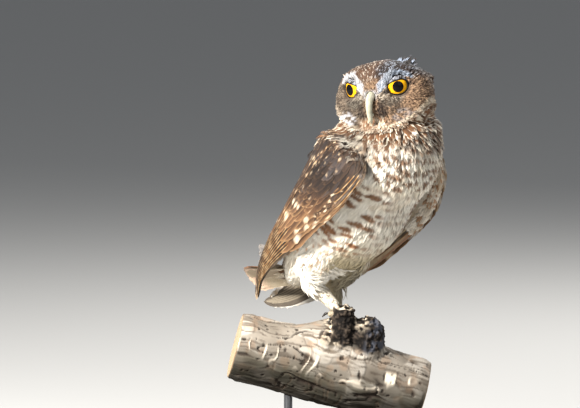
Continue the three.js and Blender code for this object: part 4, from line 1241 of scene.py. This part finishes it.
def tail_path(c0, c1, s0, s1, under=False):
    def fr(q):
        s, c = s0 + (s1 - s0) * q, c0 + (c1 - c0) * q
        p = tail_point(s, c)
        dc = tail_point(s, np.minimum(c + 0.03, 1)) - tail_point(s, np.maximum(c - 0.03, 0))
        d = unit(np.gradient(p, axis=0))
        l = unit(dc - d * (dc * d).sum(-1, keepdims=True))
        n = unit(np.cross(d, l))
        n = np.where(n[..., 2:] < 0, -n, n)
        return p, n * (-1 if under else 1), d, l

    return fr


def tail_colour(p, q, a, rnd, length, w):
    along = q * length
    n = noise(p, 6, 66)
    base = mix(srgb(164, 132, 104), srgb(196, 162, 132), n)
    phase = (along / 12.5 + 0.1 * rnd + 0.05 * np.abs(a)) % 1.0
    bar = smooth(np.abs(phase - 0.5), 0.2, 0.12)
    out = mix(base, srgb(220, 196, 162), 0.6 * bar * smooth(q, 0.8, 0.6))
    # pale tip of feather colour, warmed pinkish: a painted glow of light through the tail
    out = mix(out, srgb(228, 194, 168), 0.9 * smooth(q, 0.6, 0.8))
    return mix(out, srgb(186, 150, 118), 0.6 * np.exp(-((a * w * 0.5 / 0.5) ** 2)))


def tail_under_colour(p, q, a, rnd, length, w):
    n = noise(p, 6, 76)
    out = mix(srgb(214, 198, 170), srgb(192, 172, 142), n)
    # pale tip of feather colour, warmed pinkish: a painted glow of light through the tail
    out = mix(out, srgb(226, 192, 166), 0.8 * smooth(q, 0.7, 0.9))
    return mix(out, srgb(228, 214, 190), 0.5 * np.exp(-((a * w * 0.5 / 0.5) ** 2)))


tail = Vanes("tail_feathers", 24)
for i in range(12):
    k = i / 11
    order = abs(i - 5.5)
    for low in (False, True):
        c1 = 0.13 + 0.74 * k
        fr0 = tail_path(0.5 + (k - 0.5) * 0.45, c1, 0.0, 1.0)

        def fr(q, fr0=fr0, low=low):
            p, n, d, l = fr0(q)
            half = (3.5 + (0.7 - 3.5) * np.clip(q, 0, 1) ** 0.6) * 0.75
            return p + n * ((-half if low else half) * (1 - 0.5 * q))[:, None], n, d, l

        L = path_length(fr)
        lay = (0.9 - 0.13 * order) * (1 if not low else 0.45) - (0.35 if low else 0.1)
        tail.add(
            vane(fr, 12.0, lay, 52, 13, tip=0.10, tilt=0.22 * (-1 if i > 5 else 1), seed=600 + i + 20 * low, rough=0.06, blunt=2.6),
            L, 12.0, tail_under_colour if low else tail_colour, rng.random(),
        )
tail.done()

# tail coverts, above and below, and the fluff under the tail
tri, w = sample(is_tail & (FC[:, 1] < 50), 2.6, 9)


def tail_covert_colour(p, q, a, r):
    n = noise(p, 5, 67)
    return mix(mix(WHITE, CREAM, 0.35 + 0.5 * n), BUFF, 0.15)


lay_feathers("coat_tail_base", tri, w, dict(L=17, W=6, m=8, lift=0.7, messy=0.14, fray=0.12), tail_covert_colour, 109)
# a few loose grey feathers that stand up behind the wings


def rump_colour(p, q, a, rnd, length, w):
    out = mix(srgb(84, 80, 78), srgb(140, 134, 128), noise(p, 2.0, 77))
    return mix(out, srgb(70, 62, 58), 0.5 * np.exp(-((a * w * 0.5 / 0.4) ** 2)))


loose = Vanes("coat_rump", 9)
for i in range(9):
    g = np.random.default_rng(900 + i)
    root = np.array([-17.0, 50.5, 41.0]) + g.normal(0, 1.3, 3)
    end = np.array([-20.0, 62.0 + 1.2 * g.normal(), 51.0 - 1.5 * i + 0.6 * g.normal()])

    def fr(q, root=root, end=end, bend=1.6 * g.normal()):
        d0 = unit(end - root)
        l0 = unit(np.cross(d0, np.array([-0.75, -0.35, 0.5])))
        n0 = np.cross(l0, d0)
        p = root + (end - root) * q[:, None] + n0 * (bend * q * (1 - q) * 2)[:, None]
        one = np.ones((len(q), 1))
        return p, n0 * one, d0 * one, l0 * one

    L = path_length(fr)
    loose.add(vane(fr, 4.0, 0.0, 16, 7, tip=0.4, tilt=0.1, rough=0.16, seed=910 + i), L, 4.0, rump_colour, g.random())
loose.done()

# small feathers round the bend of the wing
edge_face = np.zeros(len(FC), bool)
for side, nm in ((1, "wing_left"), (-1, "wing_right")):
    here = np.where(FLAB == REGION[nm])[0]
    sc = wing_place(side, FC[here])
    edge_face[here] = ((sc[:, 1] < 0.14) & (sc[:, 0] < 0.42)) | (sc[:, 0] < 0.07)
tri, w = sample(is_wing & edge_face, 1.6, 10)
lay_feathers("coat_wing_base", tri, w, dict(L=6.5, W=3.0, m=5, rows=4, lift=0.3, messy=0.16, fray=0.1, tone=0.1), wing_small_colour, 110)

# ---------------------------------------------------------------- eyes
def polar(name, centre, look, right, up, rings, count, colour, r_of):
    """Rings of points round an axis: rings of (angle from the axis in degrees, radius scale)."""
    th = np.linspace(0, 2 * np.pi, count, endpoint=False)
    v, c, fu = [], [], []
    for ang, rs in rings:
        a = math.radians(ang)
        for k in range(count):
            d = look * math.cos(a) + (right * math.cos(th[k]) + up * math.sin(th[k])) * math.sin(a)
            v.append(centre + d * r_of(ang, th[k]) * rs)
    v = np.array(v)
    n = len(rings)
    i = np.arange(n - 1)[:, None] * count
    j = np.arange(count)[None]
    a_, b_ = i + j, i + (j + 1) % count
    f = np.stack([a_.ravel(), b_.ravel(), (b_ + count).ravel(), (a_ + count).ravel()], 1)
    angs = np.repeat([r[0] for r in rings], count)
    ths = np.tile(th, n)
    return v, f, angs, ths


PUPIL, IRIS = 4.2, 7.15
eye_objects = {}
for k, nm in ((1, "right"), (-1, "left")):
    look, right, up = eye_axes(k)
    R_ = EYE["r"]
    edge_p, edge_i = math.degrees(math.asin(PUPIL / R_)), math.degrees(math.asin(IRIS / R_))
    rings = [(a, 1) for a in np.concatenate([np.linspace(0.01, edge_p - 0.6, 6), np.linspace(edge_p, edge_i, 12), np.linspace(edge_i + 1.0, 90, 8), np.linspace(100, 179.9, 6)])]
    v, f, angs, ths = polar("eye", eye_centre(k), look, right, up, rings, 72, None, lambda a, t: R_ + 0.35 * math.exp(-((a / 34.0) ** 2)))
    nz = noise(np.stack([np.cos(ths) * 9, np.sin(ths) * 9, angs * 0.12], 1), 1.0, 71)
    nz2 = noise(np.stack([np.cos(ths) * 26, np.sin(ths) * 26, angs * 0.08], 1), 1.0, 72)
    iris = mix(srgb(226, 150, 8), srgb(250, 196, 30), 0.6 * nz + 0.4 * nz2)
    iris = mix(iris, srgb(214, 128, 6), smooth(angs, edge_p + 5, edge_p) * 0.6)
    iris = mix(iris, srgb(150, 92, 10), smooth(angs, edge_i - 4, edge_i) * 0.7)
    col = np.where((angs < edge_p - 0.2)[:, None], srgb(10, 9, 9), iris)
    col = np.where((angs > edge_i)[:, None], srgb(24, 18, 14), col)
    th_uv = np.stack([0.5 + angs / 180 * 0.49 * np.cos(ths), 0.5 + angs / 180 * 0.49 * np.sin(ths)], 1)
    ob = new_object("eyeball_" + nm, head_world(v), f[:, ::-1], colour=col, uv=th_uv)
    eye_objects[nm] = ob
    # lids: a dark rim whose top is cut straight by the brow
    lift_in = 1.0

    def opening(th, k=k):
        x, z = math.cos(th) * k, math.sin(th)  # x outwards
        high = (4.55 + 0.8 * x) if z > 0 else 5.4
        power = 2.5 if z > 0 else 2.15
        return (abs(x / 7.35) ** power + abs(z / high) ** power) ** (-1 / power)

    th = np.linspace(0, 2 * np.pi, 72, endpoint=False)
    v = []
    prof = [(0.0, 10.25), (0.2, 10.6), (0.5, 10.8), (0.9, 10.8), (1.3, 10.7), (2.1, 10.5), (3.2, 10.05)]
    for add, rad_ in prof:
        for a in th:
            ro = opening(a) + add * (1 + 0.7 * max(0.0, -math.cos(a) * k * 0.94 - math.sin(a) * 0.34) ** 12)
            al = math.asin(min(ro / rad_, 0.985))
            d = look * math.cos(al) + (right * math.cos(a) + up * math.sin(a)) * math.sin(al)
            v.append(eye_centre(k) + d * rad_)
    v = np.array(v)
    n = len(prof)
    i = np.arange(n - 1)[:, None] * 72
    j = np.arange(72)[None]
    a_, b_ = i + j, i + (j + 1) % 72
    f = np.stack([a_.ravel(), b_.ravel(), (b_ + 72).ravel(), (a_ + 72).ravel()], 1)
    ring = np.repeat(np.arange(n), 72)
    over = smooth(np.sin(np.tile(th, n)), 0.0, 0.45)
    ang = np.tile(th, n)
    barbs = noise(np.stack([np.cos(ang) * 13, np.sin(ang) * 13, ring * 0.6], 1), 1.0, 79)
    col = mix(srgb(16, 14, 13), mix(srgb(96, 78, 62), mix(srgb(34, 30, 28), srgb(150, 152, 160), smooth(barbs, 0.35, 0.7)), over), smooth(ring, 3.2, 4.2))
    uvp = np.stack([0.5 + 0.45 * (ring / n + 0.05) * np.cos(np.tile(th, n)), 0.5 + 0.45 * (ring / n + 0.05) * np.sin(np.tile(th, n))], 1)
    eye_objects["lid_" + nm] = new_object("eyelid_" + nm, head_world(v), f, colour=col, uv=uvp)


# ---------------------------------------------------------------- materials
def material(name):
    m = bpy.data.materials.new(name)
    m.use_nodes = True
    b = m.node_tree.nodes["Principled BSDF"]
    return m, m.node_tree, b


def attr_material(name, rough, sheen=0.0, spec=0.4, barbs=0.0, coat=0.0, bump=0.0, bump_scale=1.0):
    m, nt, b = material(name)
    b.inputs["Roughness"].default_value = rough
    b.inputs["Specular IOR Level"].default_value = spec
    b.inputs["Sheen Weight"].default_value = sheen
    b.inputs["Sheen Roughness"].default_value = 0.5
    b.inputs["Coat Weight"].default_value = coat
    b.inputs["Coat Roughness"].default_value = 0.03
    at = nt.nodes.new("ShaderNodeVertexColor")
    at.layer_name = "Col"
    out = at.outputs["Color"]
    if barbs:
        fu = nt.nodes.new("ShaderNodeAttribute")
        fu.attribute_name = "fuv"
        sep = nt.nodes.new("ShaderNodeSeparateXYZ")
        nt.links.new(fu.outputs["Vector"], sep.inputs[0])
        ab = nt.nodes.new("ShaderNodeMath")
        ab.operation = "ABSOLUTE"
        nt.links.new(sep.outputs["Y"], ab.inputs[0])
        # barbs leave the shaft at a slant
        sl = nt.nodes.new("ShaderNodeMath")
        sl.operation = "MULTIPLY_ADD"
        nt.links.new(ab.outputs[0], sl.inputs[0])
        sl.inputs[1].default_value = -0.9
        nt.links.new(sep.outputs["X"], sl.inputs[2])
        comb = nt.nodes.new("ShaderNodeCombineXYZ")
        nt.links.new(sl.outputs[0], comb.inputs[0])
        mu = nt.nodes.new("ShaderNodeMath")
        mu.operation = "MULTIPLY"
        nt.links.new(sep.outputs["Y"], mu.inputs[0])
        mu.inputs[1].default_value = 0.12
        nt.links.new(mu.outputs[0], comb.inputs[1])
        nt.links.new(sep.outputs["Z"], comb.inputs[2])
        no = nt.nodes.new("ShaderNodeTexNoise")
        no.inputs["Scale"].default_value = 3.2
        no.inputs["Detail"].default_value = 2.0
        nt.links.new(comb.outputs[0], no.inputs["Vector"])
        mr = nt.nodes.new("ShaderNodeMapRange")
        mr.inputs["From Min"].default_value = 0.3
        mr.inputs["From Max"].default_value = 0.7
        mr.inputs["To Min"].default_value = 1 - barbs
        mr.inputs["To Max"].default_value = 1 + barbs * 0.5
        nt.links.new(no.outputs["Fac"], mr.inputs["Value"])
        vm = nt.nodes.new("ShaderNodeVectorMath")
        vm.operation = "MULTIPLY"
        nt.links.new(out, vm.inputs[0])
        cx = nt.nodes.new("ShaderNodeCombineXYZ")
        for i in range(3):
            nt.links.new(mr.outputs[0], cx.inputs[i])
        nt.links.new(cx.outputs[0], vm.inputs[1])
        out = vm.outputs[0]
        if bump:
            bp = nt.nodes.new("ShaderNodeBump")
            bp.inputs["Strength"].default_value = bump
            bp.inputs["Distance"].default_value = 0.0002
            nt.links.new(no.outputs["Fac"], bp.inputs["Height"])
            nt.links.new(bp.outputs[0], b.inputs["Normal"])
    nt.links.new(out, b.inputs["Base Color"])
    return m


M_DOWN = attr_material("feather_down", 0.8, sheen=0.12, spec=0.16)
M_VANE = attr_material("feather_vane", 0.68, sheen=0.04, spec=0.2, barbs=0.3, bump=0.5)
M_SKIN = attr_material("plumage_base", 0.8, spec=0.2)
M_EYE = attr_material("eye_wet", 0.5, spec=0.02, coat=0.2)
M_LID = attr_material("eyelid", 0.55, spec=0.25)

for ob in PIECES:
    ob.data.materials.append(M_VANE if ob.name.startswith(("flight", "coverts", "underwing", "shoulder", "tail")) else M_DOWN)
    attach(ob, "root")
skin.data.materials.append(M_SKIN)
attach(skin, "root")
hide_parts(*FLESH)
for nm in ("left", "right"):
    ob = eye_objects[nm]
    ob.data.materials.append(M_EYE)
    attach(ob, "root")
    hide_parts("eye_" + nm)
    ob = eye_objects["lid_" + nm]
    ob.data.materials.append(M_LID)
    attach(ob, "root")


def ramp_material(name, stops, scale, rough, detail=6.0, coat=0.0, spec=0.5, bump=0.0, dist=0.0003, metal=0.0):
    m, nt, b = material(name)
    b.inputs["Roughness"].default_value = rough
    b.inputs["Coat Weight"].default_value = coat
    b.inputs["Coat Roughness"].default_value = 0.15
    b.inputs["Specular IOR Level"].default_value = spec
    b.inputs["Metallic"].default_value = metal
    tc = nt.nodes.new("ShaderNodeTexCoord")
    mp = nt.nodes.new("ShaderNodeMapping")
    mp.inputs["Scale"].default_value = scale
    nt.links.new(tc.outputs["Object"], mp.inputs[0])
    no = nt.nodes.new("ShaderNodeTexNoise")
    no.inputs["Scale"].default_value = 1.0
    no.inputs["Detail"].default_value = detail
    no.inputs["Roughness"].default_value = 0.6
    nt.links.new(mp.outputs[0], no.inputs["Vector"])
    cr = nt.nodes.new("ShaderNodeValToRGB")
    for i, (pos, c) in enumerate(stops):
        e = cr.color_ramp.elements[i] if i < 2 else cr.color_ramp.elements.new(pos)
        e.position = pos
        e.color = (*c, 1)
    nt.links.new(no.outputs["Fac"], cr.inputs[0])
    nt.links.new(cr.outputs[0], b.inputs["Base Color"])
    if bump:
        bp = nt.nodes.new("ShaderNodeBump")
        bp.inputs["Strength"].default_value = bump
        bp.inputs["Distance"].default_value = dist
        nt.links.new(no.outputs["Fac"], bp.inputs["Height"])
        nt.links.new(bp.outputs[0], b.inputs["Normal"])
    return m


M_BILL = ramp_material("bill_horn", [(0.3, srgb(142, 140, 122)), (0.55, srgb(176, 172, 150)), (0.8, srgb(196, 190, 172))], (60, 60, 120), 0.34, coat=0.25)
M_TOE = ramp_material("toe_scales", [(0.35, srgb(120, 108, 90)), (0.6, srgb(168, 154, 130)), (0.75, srgb(190, 178, 152))], (700, 700, 700), 0.62, bump=0.7)
M_CLAW = ramp_material("claw_horn", [(0.3, srgb(18, 15, 13)), (0.7, srgb(46, 40, 35))], (300, 300, 300), 0.3, coat=0.2)
M_WOOD = ramp_material("stand_wood", [(0.3, srgb(34, 25, 20)), (0.6, srgb(52, 38, 30)), (0.75, srgb(66, 48, 36))], (18, 160, 18), 0.38, coat=0.3, bump=0.12)
M_STEEL = ramp_material("stand_steel", [(0.3, srgb(96, 97, 100)), (0.7, srgb(122, 123, 126))], (900, 900, 30), 0.32, metal=1.0)


def dress(node, mat, level=0, voxel=None):
    ob = NODES[node]
    ob.data.materials.clear()
    ob.data.materials.append(mat)
    if voxel:
        r = ob.modifiers.new("round", "REMESH")
        r.mode, r.voxel_size, r.use_smooth_shade = "VOXEL", voxel / 1000, True
        s = ob.modifiers.new("soft", "SMOOTH")
        s.iterations, s.factor = 6, 0.5


dress("bill_upper", M_BILL, voxel=0.35)
dress("bill_lower", M_BILL, voxel=0.35)
for side in ("left", "right"):
    dress("foot_" + side, M_TOE, voxel=0.45)
    for k in range(1, 5):
        dress(f"claw_{side}_{k}", M_CLAW, voxel=0.25)
dress("stand_base", M_WOOD)
dress("stand_rod_1", M_STEEL)
dress("stand_rod_2", M_STEEL)

# ---------------------------------------------------------------- perch: cracked bark, built up on the solid
slope, yaw = math.radians(14.5), math.radians(-45)
across = np.array([math.cos(yaw), math.sin(yaw), 0])
front = np.array([math.sin(yaw), -math.cos(yaw), 0])
branch_d = across * math.cos(slope) + np.array([0, 0, -math.sin(slope)])
branch_u = np.cross(front, branch_d)
branch_u = branch_u if branch_u[2] > 0 else -branch_u
branch_0 = front * 4 + np.array([0, 0, -43.0])
BV, BF = remeshed(["perch_branch"], 0.95, 0.0)
BE = mesh_edges(BF)
BV = laplace(BV, BE, len(BV), 0.5, 4)
BN = vertex_normals(BV, BF)
rel = BV - branch_0
bl, bu, bf = rel @ branch_d, rel @ branch_u, rel @ front
brad = np.hypot(bu, bf)
bw = np.arctan2(bf, bu)
cut_end = (np.abs((BN @ branch_d)) > 0.75) & ((bl < -76) | (bl > 60)) & (brad < 27)
raised = smooth(brad, 29, 33) * smooth(np.abs(bl - 10), 34, 26)
# plates of bark, longer along the branch, with deep cracks between them
warp = np.stack([bl + 7 * noise(rel, 14, 81), bw * 27 + 5 * noise(rel, 11, 82), np.zeros(len(bl))], 1)


along_c, round_c = warp[:, 0], warp[:, 1]


def strand(u, v, su, sv, seed):
    return noise(np.stack([u / su, v / sv, brad * 0.02], 1), 1.0, seed)


fib = strand(along_c, round_c, 9.0, 1.1, 87)
fib2 = strand(along_c, round_c, 22.0, 3.2, 85)
plates = strand(along_c, round_c, 19.0, 8.0, 86)
longc = strand(along_c + 4 * fib, round_c, 24.0, 5.0, 91)
deep = 1 - smooth(np.abs(longc - 0.5), 0.012, 0.045)
deep = deep * smooth(strand(along_c, round_c, 16.0, 9.0, 92), 0.42, 0.6)
crossc = strand(along_c, round_c, 5.0, 9.0, 97)
cross = (1 - smooth(np.abs(crossc - 0.5), 0.01, 0.04)) * smooth(strand(along_c, round_c, 13.0, 13.0, 98), 0.52, 0.66)
pits = smooth(noise(rel, 3.1, 99), 0.80, 0.88)
flake = smooth(strand(along_c, round_c, 15.0, 7.0, 100), 0.52, 0.56)  # where the thin outer layer is left
# pale ridges hang down the front from a line half way round
down = round_c - 27 * 1.35
drip = 1 - smooth(np.abs(noise(np.stack([along_c / 5.5, down / 24.0, brad * 0], 1), 1.0, 101) - 0.5), 0.03, 0.10)
drip = drip * smooth(down, -5, 2) * smooth(down, 17, 6) * smooth(noise(rel, 16, 102), 0.35, 0.55)
top = smooth(np.abs(bw), 1.25, 0.6)
crumb = noise(rel, 2.4, 88) - 0.5
crumb2 = noise(rel, 1.2, 89) - 0.5
rise = 1.1 * (plates - 0.5) + 0.55 * flake - 1.5 * deep - 0.5 * cross + 0.55 * (fib - 0.5) + 0.5 * (fib2 - 0.5) - 0.9 * pits + 1.0 * drip
rise = rise - 0.25
lumps = bump(np.hypot((bl + 14) / 12, (bw - 0.75) * 30 / 12), 1.0)
rise = rise + lumps * (2.4 + 3.0 * crumb + 1.5 * crumb2)
rise = rise * (1 - raised) + raised * (3.0 * crumb + 1.6 * crumb2 - 0.7)
rise = np.where(cut_end, 0.25 * (noise(np.stack([brad, bl * 0, bw * 0], 1), 1.1, 90) - 0.5), rise)
# where toes and claws rest, the bark keeps the solid's surface
keep = np.ones(len(BV))
for side in ("left", "right"):
    fv = np.concatenate([node_arrays("foot_" + side)[0]] + [node_arrays(f"claw_{side}_{k}")[0] for k in range(1, 5)])
    step = fv[:: max(1, len(fv) // 160)]
    dd = np.full(len(BV), 99.0)
    close = np.linalg.norm(BV - fv.mean(0), axis=1) < 32
    for q_ in step:
        dd[close] = np.minimum(dd[close], np.linalg.norm(BV[close] - q_, axis=1))
    keep = np.minimum(keep, smooth(dd, 1.2, 4.5))
rise = np.where(rise > 0, rise * keep, rise * (0.3 + 0.7 * keep))
PV = BV + BN * rise[:, None]
tone = noise(rel, 14, 93)
bark = mix(srgb(160, 151, 139), srgb(112, 102, 90), tone)
bark = mix(bark, srgb(192, 184, 173), 0.7 * flake * smooth(fib, 0.25, 0.7))
bark = mix(bark, srgb(160, 126, 96), 0.3 * smooth(noise(rel, 6, 94), 0.6, 0.75))
# painted shade: the underside darker and olive
bark = mix(bark, srgb(84, 80, 62), 0.78 * smooth(np.abs(bw), 1.25, 2.0) * (0.45 + 0.55 * smooth(noise(rel, 9, 103), 0.3, 0.6)))
bark = mix(bark, srgb(76, 65, 55), 0.6 * smooth(fib, 0.45, 0.25))
# painted shade: darker round the underside and along the branch towards its end at positive bl
under = 0.35 * smooth(np.abs(bw), 0.9, 1.5) + 0.42 * smooth(np.abs(bw), 1.5, 2.2)
bark = bark * ((1 - under) * (1 - 0.35 * smooth(bl, 0, 40)))[:, None]
bark = mix(bark, srgb(40, 32, 27), 0.9 * np.maximum(deep, pits))
bark = mix(bark, srgb(76, 62, 50), 0.5 * cross)
bark = mix(bark, srgb(222, 210, 192), 0.8 * drip)
dark = mix(srgb(18, 15, 13), srgb(70, 60, 51), smooth(crumb + crumb2, -0.1, 0.6))
# painted highlight: pale on the upward-facing parts of the stub, near its base
top_highlight = smooth(noise(rel, 2.2, 95), 0.52, 0.7) * smooth(BN[:, 2], 0.0, 0.7) * smooth(bl, 14, 6)
dark = mix(dark, srgb(208, 192, 170), 0.85 * top_highlight)
# painted sheen: bluish grey on the front-facing side of the dark stub, towards its far end
dark = mix(dark, srgb(96, 100, 112), 0.45 * smooth(bl, 8, 16) * smooth(BN @ front, -0.2, 0.6) * smooth(noise(rel, 3, 104), 0.3, 0.6))
bark = mix(bark, mix(dark, srgb(170, 152, 128), 0.4), 0.9 * lumps * smooth(crumb, 0.2, -0.2))
bark = mix(bark, dark, raised)
rings_c = mix(srgb(180, 160, 132), srgb(146, 122, 94), smooth(np.sin(brad * 3.2 + 3 * noise(rel, 9, 96)), -0.3, 0.7))
rings_c = mix(rings_c, srgb(120, 100, 80), smooth(brad, 22.0, 24.5))
bark = np.where(cut_end[:, None], rings_c, bark)
theta = (bw / (2 * np.pi) + 0.5)
perch = new_object("perch_bark", PV, BF, colour=bark)
bpy.context.view_layer.objects.active = perch
perch.select_set(True)
bpy.ops.object.mode_set(mode="EDIT")
bpy.ops.mesh.select_all(action="SELECT")
bpy.ops.uv.smart_project(angle_limit=math.radians(66), island_margin=0.001)
bpy.ops.object.mode_set(mode="OBJECT")
perch.select_set(False)
perch.data.uv_layers[0].name = "OFBake"
M_BARK = attr_material("bark", 0.9, spec=0.15)
perch.data.materials.append(M_BARK)
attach(perch, "root")
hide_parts("perch_branch")

# ---------------------------------------------------------------- floor, light, camera
me = bpy.data.meshes.new("floor")
me.from_pydata([(-40, -40, 0), (40, -40, 0), (40, 40, 0), (-40, 40, 0)], [], [(0, 1, 2, 3)])
floor = bpy.data.objects.new("floor", me)
bpy.context.scene.collection.objects.link(floor)
mf, nt, b = material("floor_pale")
b.inputs["Base Color"].default_value = (0.40, 0.40, 0.395, 1)
b.inputs["Roughness"].default_value = 0.9
floor.data.materials.append(mf)

AZ, EL = math.radians(-48), math.radians(4)
cam_r = np.array([math.cos(AZ), math.sin(AZ), 0])
cam_b = np.array([math.sin(AZ) * math.cos(EL), -math.cos(AZ) * math.cos(EL), math.sin(EL)])
cam_u = np.cross(cam_b, cam_r)
MM_PX = 0.75
look_at = cam_r * (-39.0) + cam_u * 83.25 + np.array([0, -8.0, 100.0])  # in millimetres, row frame
cam = bpy.data.cameras.new("camera")
cam.sensor_width = 36
DIST = 6.0
cam.lens = 36 * DIST / (580 * MM_PX / 1000)
cam.clip_end = 200
co = bpy.data.objects.new("camera", cam)
bpy.context.scene.collection.objects.link(co)
eye_at = look_at / 1000 + cam_b * DIST
m = Matrix.Identity(4)
for i, ax in enumerate((cam_r, cam_u, cam_b)):
    for j in range(3):
        m[j][i] = ax[j]
m.translation = Vector(eye_at)
co.matrix_world = m
bpy.context.scene.camera = co


def area(name, at, size, power, colour=(1, 1, 1), aim=(0, 0, 0.18)):
    li = bpy.data.lights.new(name, "AREA")
    li.shape = "DISK"
    li.size, li.energy, li.color = size, power, colour
    ob = bpy.data.objects.new(name, li)
    bpy.context.scene.collection.objects.link(ob)
    d = Vector(aim) - Vector(at)
    ob.rotation_euler = d.to_track_quat("-Z", "Y").to_euler()
    ob.location = at
    return ob


def at(az, el, dist):
    a, e = math.radians(az), math.radians(el)
    return (math.sin(a) * math.cos(e) * dist, -math.cos(a) * math.cos(e) * dist, math.sin(e) * dist + 0.15)


area("key", at(-92, 30, 1.7), 0.30, 98, (1.0, 0.97, 0.92))
area("fill", at(-10, 25, 2.2), 1.5, 7, (0.88, 0.94, 1.0))
area("back", at(100, 42, 1.9), 0.6, 34, (1.0, 0.97, 0.93))
world = bpy.data.worlds.new("world")
bpy.context.scene.world = world
world.use_nodes = True
world.node_tree.nodes["Background"].inputs[0].default_value = (0.80, 0.83, 0.87, 1)
world.node_tree.nodes["Background"].inputs[1].default_value = 0.32
bpy.context.scene.view_settings.view_transform = "Standard"

tris = {o.name: sum(len(p.vertices) - 2 for p in o.data.polygons) for o in PIECES + [skin, perch]}
print("TRIANGLES", sum(tris.values()), tris)
